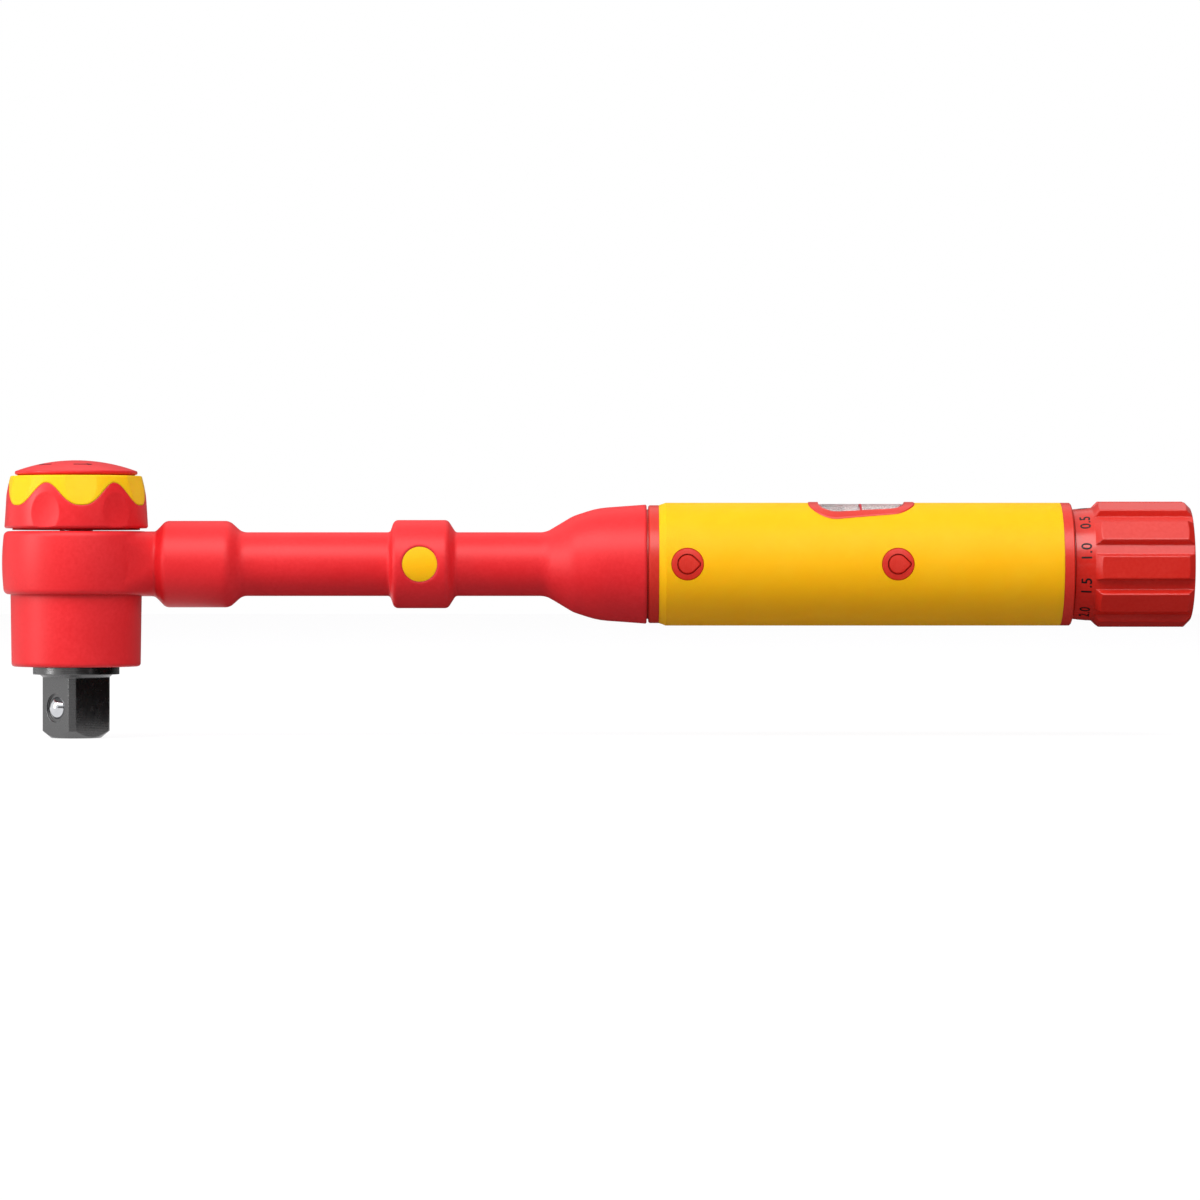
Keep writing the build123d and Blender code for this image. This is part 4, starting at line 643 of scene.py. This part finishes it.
@dataclass(frozen=True)
class Finishes:
    """Every finish of the wrench, made once and shared."""

    jacket: MouldedPolyamide = MouldedPolyamide(
        "jacket_polyamide", "#E01A20", "#E8262C", MouldTexture.MEDIUM, 0.45, 0.35, edge_round=1.2
    )
    dial: MouldedPolyamide = MouldedPolyamide(
        "dial_polyamide", "#E01A20", "#E8262C", MouldTexture.FINE, 0.36, 0.35, edge_round=0.6
    )
    sleeve: MouldedPolyamide = MouldedPolyamide(
        "sleeve_polyamide", "#D0281A", "#D83426", MouldTexture.FINE, 0.32, 0.4, line_pitch=0.55
    )
    knob: MouldedPolyamide = MouldedPolyamide(
        "knob_polyamide", "#CE2014", "#D42A1E", MouldTexture.POLISHED, 0.22, edge_round=0.45
    )
    bush: MouldedPolyamide = MouldedPolyamide(
        "bush_acetal", "#202022", "#2C2C2E", MouldTexture.FINE, 0.4
    )
    scale: MouldedPolyamide = MouldedPolyamide(
        "scale_acetal", "#EFEFEA", "#F6F6F2", MouldTexture.FINE, 0.38
    )
    yellow: SoftElastomer = SoftElastomer("yellow_elastomer")
    band: SoftElastomer = SoftElastomer(
        "band_elastomer", "#FFC400", "#FFCA20", roughness=0.42, edge_round=0.6
    )
    forged: MachinedSteel = MachinedSteel("ground_steel", "#9A9C9F", "#7C7F84", 0.34, "X")
    turned: MachinedSteel = MachinedSteel("turned_steel", "#A3A5A8", "#888B90", 0.3, "X")
    spring: MachinedSteel = MachinedSteel("drawn_spring_steel", "#6F7174", "#55575B", 0.36, "Z")
    ball: MachinedSteel = MachinedSteel("lapped_steel", "#D8DADD", "#C8CBCF", 0.12, "Z", 0.9)
    brass: MachinedSteel = MachinedSteel("turned_brass", "#C9A24C", "#B48C3A", 0.28, "X")
    black: BlackOxideSteel = BlackOxideSteel()
    lens: ClearPolycarbonate = ClearPolycarbonate()
    rubber: DullRubber = DullRubber()
    black_ink: PadPrint = PadPrint("black_pad_print", "#1C1416", "#3A1C1E")
    red_ink: PadPrint = PadPrint("red_pad_print", "#B8102A", "#C82038")

    def material(self, finish: str) -> bpy.types.Material:
        """Returns the material of one finish, made on its first use."""
        plan = getattr(self, finish)
        return bpy.data.materials.get(plan.name) or plan.make()


def dress(obj: bpy.types.Object, material: bpy.types.Material) -> None:
    """Gives every material slot of a piece one material.

    Args:
        obj: the piece.
        material: its material.
    """
    if not obj.material_slots:
        obj.data.materials.append(material)
    for place in obj.material_slots:
        place.material = material


def deselect() -> None:
    """Goes to object mode and selects nothing."""
    if bpy.context.object and bpy.context.object.mode != "OBJECT":
        bpy.ops.object.mode_set(mode="OBJECT")
    for obj in bpy.context.selected_objects:
        obj.select_set(False)


def choose(obj: bpy.types.Object) -> None:
    """Makes one object the only selected and the active one.

    Args:
        obj: that object.
    """
    deselect()
    obj.select_set(True)
    bpy.context.view_layer.objects.active = obj


def slice_across(obj: bpy.types.Object, axis: int, low: float, high: float, cuts: int) -> None:
    """Cuts a flat print into strips, so that it can be wrapped round a form.

    Args:
        obj: the flat mesh.
        axis: 0 to cut along X, 1 along Y.
        low: where the first strip starts.
        high: where the last strip ends.
        cuts: number of cuts.
    """
    choose(obj)
    bpy.ops.object.mode_set(mode="EDIT")
    normal = (1, 0, 0) if axis == 0 else (0, 1, 0)
    for i in range(1, cuts + 1):
        at = low + (high - low) * i / (cuts + 1)
        bpy.ops.mesh.select_all(action="SELECT")
        bpy.ops.mesh.bisect(plane_co=[at * part for part in normal], plane_no=normal)
    bpy.ops.object.mode_set(mode="OBJECT")


def wrap(obj: bpy.types.Object, place: Callable[[Vector], Vector]) -> None:
    """Wraps a flat mesh round a form, and leaves its object at the origin.

    Args:
        obj: the flat mesh's object.
        place: says where a flat point lies on the form.
    """
    for vertex in obj.data.vertices:
        vertex.co = place(vertex.co.copy())
    obj.data.update()
    choose(obj)
    bpy.ops.object.mode_set(mode="EDIT")
    bpy.ops.mesh.select_all(action="SELECT")
    bpy.ops.mesh.normals_make_consistent(inside=False)
    bpy.ops.object.mode_set(mode="OBJECT")


def flat_words(
    words: str, height: float, film: float, name: str, bold: float = 0.0
) -> bpy.types.Object:
    """Makes a thin flat print of plain numbers in the XY plane, centred on the origin.

    Args:
        words: the digits.
        height: height of a digit in metres.
        film: thickness of the ink in metres.
        name: the new object's name.
        bold: how far every outline is pushed out, in metres.

    Returns:
        The mesh object.
    """
    deselect()
    bpy.ops.object.text_add(location=(0, 0, 0))
    text = bpy.context.object
    text.data.body = words
    text.data.size = height / DIGIT_SHARE
    text.data.space_character = LETTER_SPACING
    text.data.align_x = "CENTER"
    text.data.align_y = "CENTER"
    text.data.extrude = film / 2
    text.data.offset = bold
    text.data.resolution_u = 4
    bpy.ops.object.convert(target="MESH")
    made = bpy.context.object
    made.name = name
    bpy.ops.object.mode_set(mode="EDIT")
    bpy.ops.mesh.select_all(action="SELECT")
    bpy.ops.mesh.remove_doubles(threshold=MERGE_GAP)
    bpy.ops.mesh.quads_convert_to_tris()
    bpy.ops.object.mode_set(mode="OBJECT")
    return made


def join(pieces: list[bpy.types.Object], name: str) -> bpy.types.Object:
    """Joins pieces into the first one.

    Args:
        pieces: the pieces.
        name: the joined piece's name.

    Returns:
        The joined piece.
    """
    deselect()
    for piece in pieces:
        piece.select_set(True)
    bpy.context.view_layer.objects.active = pieces[0]
    bpy.ops.object.join()
    made = bpy.context.object
    made.name = name
    made.data.name = name
    return made


@dataclass
class Assembly:
    """A sub-assembly: the CAD nodes it dresses, and the finish of each."""

    frame: dict
    finishes: Finishes

    def dress_nodes(self, plan: dict[str, str]) -> None:
        """Gives each named CAD node its finish and reports it.

        Args:
            plan: finish name by node name.
        """
        for node, finish in plan.items():
            dress(self.frame["nodes"][node], self.finishes.material(finish))
            LOG.info("node %s: %s", node, getattr(self.finishes, finish).name)

    def add_piece(self, piece: bpy.types.Object, finish: str, body: Body) -> None:
        """Finishes a piece that is made here, seats it on its body and reports it.

        Args:
            piece: the piece.
            finish: its finish's name.
            body: the body that carries it.
        """
        dress(piece, self.finishes.material(finish))
        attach(piece, body.value)
        LOG.info("piece %s on %s: %d faces", piece.name, body.value, len(piece.data.polygons))

    def add_spring(self, node: str, body: Body, joint: str, push: Vector, travel: float) -> None:
        """Puts a coil, copied from a CAD spring's mesh, in that spring's place and hides the CAD
        spring.

        Args:
            node: the spring's CAD node.
            body: the body that holds its fixed end.
            joint: the joint that presses it; not used.
            push: the direction in which its loose end is pressed; not used.
            travel: how far that end goes, in metres; not used.
        """
        source = self.frame["nodes"][node]
        coil = bpy.data.objects.new(f"{node}_coil", source.data.copy())
        coil.matrix_world = source.matrix_world
        bpy.context.scene.collection.objects.link(coil)
        choose(coil)
        bpy.ops.object.transform_apply(location=True, rotation=True, scale=True)
        bpy.ops.object.mode_set(mode="EDIT")
        bpy.ops.mesh.select_all(action="SELECT")
        bpy.ops.mesh.remove_doubles(threshold=MERGE_GAP)
        bpy.ops.object.mode_set(mode="OBJECT")
        self.add_piece(coil, "spring", body)
        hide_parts(node)
        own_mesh(coil)


@dataclass
class Head(Assembly):
    """The insulated head and neck with the ratchet inside."""

    ball_angle: float = math.radians(44.0)
    ball_travel: float = 1.0 * MM

    def build(self) -> None:
        """Dresses the jacket, the forging, the ratchet and the square drive."""
        self.dress_nodes(
            {
                "insulation_jacket": "jacket",
                "marker_plugs": "yellow",
                "ratchet_lever": "forged",
                "drive_bush": "bush",
                "drive_spindle": "black",
                "detent_ball": "ball",
                "ball_spring": "spring",
                "ratchet_wheel": "turned",
                "wheel_circlip": "spring",
                "drive_pawl": "forged",
                "reverse_pawl": "forged",
                "pawl_pins": "turned",
                "pawl_springs": "spring",
                "selector_cam": "turned",
                "head_cover": "turned",
                "cover_ring": "spring",
            }
        )
        push = Vector((math.cos(self.ball_angle), math.sin(self.ball_angle), 0.0))
        self.add_spring("ball_spring", Body.DRIVE, "ball_press", push, self.ball_travel)


@dataclass
class Dial(Assembly):
    """The reversing dial with the two turning marks on its cap."""

    dome_apex: float = 67.3 * MM
    dome_radius: float = 41.9 * MM
    mark_radius: float = 9.6 * MM
    mark_width: float = 0.55 * MM
    mark_sweep: float = 20.0
    mark_places: tuple[float, float] = (-74.0, -137.0)
    mark_steps: int = 12
    head_length: float = 1.3 * MM
    head_width: float = 1.7 * MM
    film: float = 0.03 * MM

    def build(self) -> None:
        """Dresses the dial and prints its marks."""
        self.dress_nodes(
            {
                "reversing_dial": "dial",
                "dial_band": "band",
                "dial_cap": "dial",
                "dial_screw": "turned",
            }
        )
        marks = [self.turning_mark(a, i == 0) for i, a in enumerate(self.mark_places)]
        self.add_piece(join(marks, "turning_marks"), "black_ink", Body.DIAL)

    def turning_mark(self, middle: float, forwards: bool) -> bpy.types.Object:
        """Makes one curved arrow on the dome.

        Args:
            middle: polar angle of its middle in degrees.
            forwards: whether it points to growing angles.

        Returns:
            The mesh object.
        """
        deselect()
        bpy.ops.mesh.primitive_grid_add(x_subdivisions=self.mark_steps, y_subdivisions=2, size=2)
        mark = bpy.context.object
        mark.name = "turning_mark"
        wrap(mark, lambda flat: self.on_dome(flat, middle, 1 if forwards else -1))
        choose(mark)
        solid = mark.modifiers.new("film", "SOLIDIFY")
        solid.thickness = self.film * 2
        solid.offset = 0
        bpy.ops.object.modifier_apply(modifier=solid.name)
        return mark

    def on_dome(self, flat: Vector, middle: float, sign: int) -> Vector:
        """Works out where a point of a flat arrow lies on the dome.

        Args:
            flat: the point, from -1 to 1 along the arrow and across it.
            middle: polar angle of the arrow's middle in degrees.
            sign: 1 if it points to growing angles, or else -1.

        Returns:
            The point on the dome.
        """
        sweep = math.radians(self.mark_sweep)
        point = self.head_length / self.mark_radius
        angle = (flat.x + 1) / 2 * (sweep + point)
        half = self.mark_width / 2
        if angle > sweep:
            half = self.head_width / 2 * (1 - (angle - sweep) / point)
        at = math.radians(middle) + sign * (angle - (sweep + point) / 2)
        radius = self.mark_radius + flat.y * half
        drop = radius**2 / (2 * self.dome_radius)
        return Vector((radius * math.cos(at), radius * math.sin(at), self.dome_apex - drop))


@dataclass
class Grip(Assembly):
    """The grip with its scale window, and the click works inside."""

    lens_radius: float = 14.6 * MM
    hairline_x: float = 190.1 * MM
    hairline_width: float = 0.5 * MM
    hairline_reach: float = 35.0
    scale_radius: float = 9.6 * MM
    scale_pitch: float = 0.3 * MM
    lowest: int = 5
    highest: int = 50
    line_step: int = 5
    line_width: float = 0.18 * MM
    line_start: float = 1.6 * MM
    short_line: float = 3.4 * MM
    long_line: float = 4.6 * MM
    line_cuts: int = 16
    number_step: int = 10
    digit_height: float = 1.5 * MM
    digit_cuts: int = 3
    film: float = 0.03 * MM
    setting_travel: float = 13.5 * MM

    def build(self) -> None:
        """Dresses the grip and its works, prints the scale and draws the hairline."""
        self.dress_nodes(
            {
                "grip_sleeve": "sleeve",
                "grip_cover": "yellow",
                "grip_plugs": "sleeve",
                "grip_screws": "turned",
                "window_lens": "lens",
                "housing_tube": "forged",
                "pivot_pin": "turned",
                "tilt_block": "forged",
                "plunger": "turned",
                "main_spring": "spring",
                "spring_washer": "turned",
                "adjusting_nut": "brass",
                "scale_carrier": "scale",
                "adjusting_spindle": "turned",
                "end_bush": "brass",
                "knob_seal": "rubber",
            }
        )
        push = Vector((-1.0, 0.0, 0.0))
        self.add_spring("main_spring", Body.HANDLE, "setting_slide", push, self.setting_travel)
        self.add_piece(self.hairline(), "red_ink", Body.HANDLE)
        self.add_piece(self.scale_lines(), "black_ink", Body.SETTING)
        self.add_piece(self.scale_numbers(), "black_ink", Body.SETTING)

    def on_cylinder(self, radius: float, flat: Vector) -> Vector:
        """Works out where a flat point lies on a cylinder round the handle's axis.

        Args:
            radius: the cylinder's radius.
            flat: the point: its X stays, its Y goes round and its Z outwards.

        Returns:
            The point on the cylinder.
        """
        angle = flat.y / radius
        out = radius + flat.z
        return Vector((flat.x, out * math.sin(angle), HANDLE_Z + out * math.cos(angle)))

    def strip(
        self, x: float, width: float, low: float, high: float, radius: float, name: str
    ) -> bpy.types.Object:
        """Makes one thin printed line across the handle.

        Args:
            x: its place along the handle.
            width: its width along the handle.
            low: where it starts, measured round the form.
            high: where it ends.
            radius: radius of the form.
            name: the new object's name.

        Returns:
            The mesh object.
        """
        deselect()
        bpy.ops.mesh.primitive_cube_add(size=1, location=(0, 0, 0))
        line = bpy.context.object
        line.name = name
        bpy.ops.object.mode_set(mode="EDIT")
        bpy.ops.mesh.select_all(action="SELECT")
        bpy.ops.transform.resize(value=(width, high - low, self.film * 2))
        bpy.ops.transform.translate(value=(x, (low + high) / 2, 0))
        bpy.ops.object.mode_set(mode="OBJECT")
        slice_across(line, 1, low, high, self.line_cuts)
        wrap(line, lambda flat: self.on_cylinder(radius, flat))
        return line

    def hairline(self) -> bpy.types.Object:
        """Makes the red reading line over the lens.

        Returns:
            The mesh object.
        """
        reach = math.radians(self.hairline_reach) * self.lens_radius
        return self.strip(
            self.hairline_x, self.hairline_width, -reach, reach, self.lens_radius, "window_hairline"
        )

    def scale_place(self, torque: float) -> float:
        """Returns the X of a torque's line while the wrench is set to its lowest value."""
        return self.hairline_x + (torque - self.lowest) * self.scale_pitch

    def scale_lines(self) -> bpy.types.Object:
        """Makes the lines of the scale, a longer one at each number.

        Returns:
            The mesh object.
        """
        lines = []
        for torque in range(self.lowest, self.highest + 1, self.line_step):
            x = self.scale_place(torque)
            high = self.long_line if torque % self.number_step == 0 else self.short_line
            line = self.strip(x, self.line_width, self.line_start, high, self.scale_radius, "line")
            lines.append(line)
        return join(lines, "scale_lines")

    def scale_numbers(self) -> bpy.types.Object:
        """Makes the numbers of the scale.

        Returns:
            The mesh object.
        """
        numbers = []
        half = self.digit_height / 2
        for torque in range(self.number_step, self.highest + 1, self.number_step):
            number = flat_words(str(torque), self.digit_height, self.film * 2, "number")
            slice_across(number, 1, -half, half, self.digit_cuts)
            shift = Vector((self.scale_place(torque), 0, 0))
            wrap(number, lambda flat, s=shift: self.on_cylinder(self.scale_radius, flat + s))
            numbers.append(number)
        return join(numbers, "scale_numbers")


@dataclass
class Knob(Assembly):
    """The setting knob with the numbers on its neck."""

    neck_x: float = 241.4 * MM
    neck_radius: float = 13.3 * MM
    neck_slope: float = 0.4 / 4.8
    number_x: float = 244.1 * MM
    digit_height: float = 2.6 * MM
    word_width: float = 4.8 * MM
    word_cuts: int = 9
    first_angle: float = 84.6
    step_angle: float = 36.0
    count: int = 10
    step: float = 0.5
    film: float = 0.035 * MM
    bold: float = 0.035 * MM

    def build(self) -> None:
        """Dresses the knob and prints its numbers."""
        self.dress_nodes({"knob": "knob", "knob_cap": "knob", "knob_screw": "turned"})
        numbers = [self.number(i) for i in range(self.count)]
        self.add_piece(join(numbers, "knob_numbers"), "black_ink", Body.SETTER)

    def number(self, index: int) -> bpy.types.Object:
        """Makes one number, its top towards the drive, read upwards from the side.

        Args:
            index: its place in the scale, 0 at the top.

        Returns:
            The mesh object.
        """
        words = f"{index * self.step:.1f}" if index else "0"
        number = flat_words(words, self.digit_height, self.film * 2, "knob_number", self.bold)
        slice_across(number, 0, -self.word_width / 2, self.word_width / 2, self.word_cuts)
        middle = math.radians(self.first_angle - self.step_angle * index)
        wrap(number, lambda flat: self.on_neck(flat, middle))
        return number

    def on_neck(self, flat: Vector, middle: float) -> Vector:
        """Works out where a point of a flat number lies on the neck.

        Args:
            flat: the point: its X goes round, its Y towards the drive and its Z outwards.
            middle: the number's angle round the handle's axis.

        Returns:
            The point on the neck.
        """
        x = self.number_x - flat.y
        radius = self.neck_radius + (x - self.neck_x) * self.neck_slope
        angle = middle + flat.x / radius
        out = radius + flat.z
        return Vector((x, -out * math.cos(angle), HANDLE_Z + out * math.sin(angle)))


@dataclass(frozen=True)
class Softbox:
    """A soft rectangular lamp, with its place and the point it faces in metres and its watts."""

    name: str
    place: tuple[float, float, float]
    aim: tuple[float, float, float]
    width: float
    height: float
    power: float

    def hang(self) -> None:
        """Hangs the lamp at its place and turns it to its aim."""
        data = bpy.data.lights.new(self.name, "AREA")
        data.shape = "RECTANGLE"
        data.size = self.width
        data.size_y = self.height
        data.energy = self.power
        lamp = bpy.data.objects.new(self.name, data)
        lamp.location = self.place
        towards = Vector(self.aim) - Vector(self.place)
        lamp.rotation_euler = towards.to_track_quat("-Z", "Y").to_euler()
        bpy.context.scene.collection.objects.link(lamp)


@dataclass(frozen=True)
class DarkCard:
    """A card that only the gloss of the wrench shows, turned in degrees from lying flat.

    Its shade is how bright it is, where 1 is white.
    """

    name: str
    place: tuple[float, float, float]
    turn: tuple[float, float, float]
    width: float
    height: float
    shade: float

    def stand(self) -> None:
        """Stands the card at its place, where only reflections see it."""
        deselect()
        bpy.ops.mesh.primitive_plane_add(
            size=1, location=self.place, rotation=[math.radians(angle) for angle in self.turn]
        )
        card = bpy.context.object
        card.name = self.name
        card.scale = (self.width, self.height, 1)
        material, tree = new_material(self.name)
        inputs = {"Color": (1, 1, 1, 1), "Strength": self.shade}
        finish_tree(tree, add_node(tree, "ShaderNodeEmission", inputs))
        dress(card, material)
        card.visible_camera = False
        card.visible_diffuse = False
        card.visible_shadow = False


@dataclass
class Studio:
    """Pale floor, white surroundings, soft lamps, dark cards and the camera.

    Lamps and cards are given in metres: name, place, aim or turn, width, height, and watts or shade.
    """

    floor_size: float = 6.0
    floor_x: float = 127.0 * MM
    floor_drop: float = 0.2 * MM
    floor_seen: str = "#E6E2E8"
    floor_bounce: str = "#BAB4BC"
    floor_strength: float = 1.06
    distance: float = 1.2
    picture_width: float = 291.2 * MM
    centre_x: float = 127.1 * MM
    centre_z: float = 33.4 * MM
    eye_height: float = HANDLE_Z
    sensor: float = 36.0
    shadow_share: float = 0.14
    ambient: float = 0.5
    lamps: tuple[Softbox, ...] = (
        Softbox("key_softbox", (-0.08, -0.75, 0.95), (0.127, 0.0, 0.042), 1.7, 0.7, 15.5),
        Softbox("left_strip", (-0.85, -0.35, 0.25), (0.0, 0.0, 0.042), 0.3, 0.7, 4.5),
    )
    cards: tuple[DarkCard, ...] = (
        DarkCard("back_card", (0.127, 0.45, 0.19), (90, 0, 0), 1.4, 0.38, 0.25),
        DarkCard("front_card", (0.127, -1.7, 0.25), (90, 0, 0), 2.6, 0.6, 0.06),
        DarkCard("right_card", (0.75, 0.1, 0.4), (0, 90, 0), 0.82, 1.6, 0.01),
        DarkCard("floor_card", (0.39, -0.1, 0.001), (0, 0, 0), 0.72, 1.4, 0.02),
    )

    def build(self) -> None:
        """Makes the whole studio."""
        self.floor()
        self.world()
        for lamp in self.lamps:
            lamp.hang()
        for card in self.cards:
            card.stand()
        self.camera()
        bpy.context.scene.view_settings.view_transform = "Standard"
        LOG.info("studio: %d lamps and %d cards", len(self.lamps), len(self.cards))

    def floor(self) -> None:
        """Lays the floor: white to the camera and in reflections, with the object's shadow kept."""
        deselect()
        place = (self.floor_x, 0, -self.floor_drop)
        bpy.ops.mesh.primitive_plane_add(size=self.floor_size, location=place)
        floor = bpy.context.object
        floor.name = "studio_floor"
        material, tree = new_material("floor_paper")
        seen = self.seen_rays(tree)
        colour = blend(tree, seen, self.floor_bounce, self.floor_seen)
        paper = add_node(tree, "ShaderNodeBsdfDiffuse", {"Color": colour, "Roughness": 1.0})
        glow = {"Color": (1, 1, 1, 1), "Strength": self.floor_strength}
        white = add_node(tree, "ShaderNodeEmission", glow)
        share = combine(tree, "MULTIPLY", seen, 1.0 - self.shadow_share)
        parts = {0: share, 1: paper.outputs[0], 2: white.outputs[0]}
        finish_tree(tree, add_node(tree, "ShaderNodeMixShader", parts))
        dress(floor, material)

    def seen_rays(self, tree: bpy.types.NodeTree) -> bpy.types.NodeSocket:
        """Tells the rays that show a surface from the rays that only carry its light.

        Args:
            tree: the material's or world's tree.

        Returns:
            1 for rays from the camera, a reflection or through glass, and 0 for the rest.
        """
        rays = add_node(tree, "ShaderNodeLightPath").outputs
        either = combine(tree, "MAXIMUM", rays["Is Camera Ray"], rays["Is Glossy Ray"])
        return combine(tree, "MAXIMUM", either, rays["Is Transmission Ray"])

    def world(self) -> None:
        """Makes the surroundings: white where they are seen, dimmer where they only light."""
        world = bpy.data.worlds.new("studio_surroundings")
        bpy.context.scene.world = world
        world.use_nodes = True
        tree = world.node_tree
        tree.nodes.clear()
        light = spread(tree, self.seen_rays(tree), end=(self.ambient, 1.0))
        back = add_node(
            tree, "ShaderNodeBackground", {"Color": (1, 1, 1, 1), "Strength": light}
        )
        add_node(tree, "ShaderNodeOutputWorld", {"Surface": back.outputs[0]})

    def camera(self) -> None:
        """Sets the camera where the picture was taken from."""
        data = bpy.data.cameras.new("studio_camera")
        data.sensor_width = self.sensor
        data.lens = self.sensor * self.distance / self.picture_width
        data.shift_y = (self.centre_z - self.eye_height) / self.picture_width
        data.clip_start = 0.05
        data.clip_end = 20.0
        camera = bpy.data.objects.new("studio_camera", data)
        camera.location = (self.centre_x, -self.distance, self.eye_height)
        camera.rotation_euler = (math.pi / 2, 0, 0)
        bpy.context.scene.collection.objects.link(camera)
        bpy.context.scene.camera = camera


def main() -> None:
    """Dresses the wrench, sub-assembly by sub-assembly, and sets up the studio."""
    logging.basicConfig(level=logging.INFO, format="%(message)s")
    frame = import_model()
    finishes = Finishes()
    for kind in (Head, Dial, Grip, Knob):
        kind(frame, finishes).build()
    Studio().build()


if __name__ == "__main__":
    main()
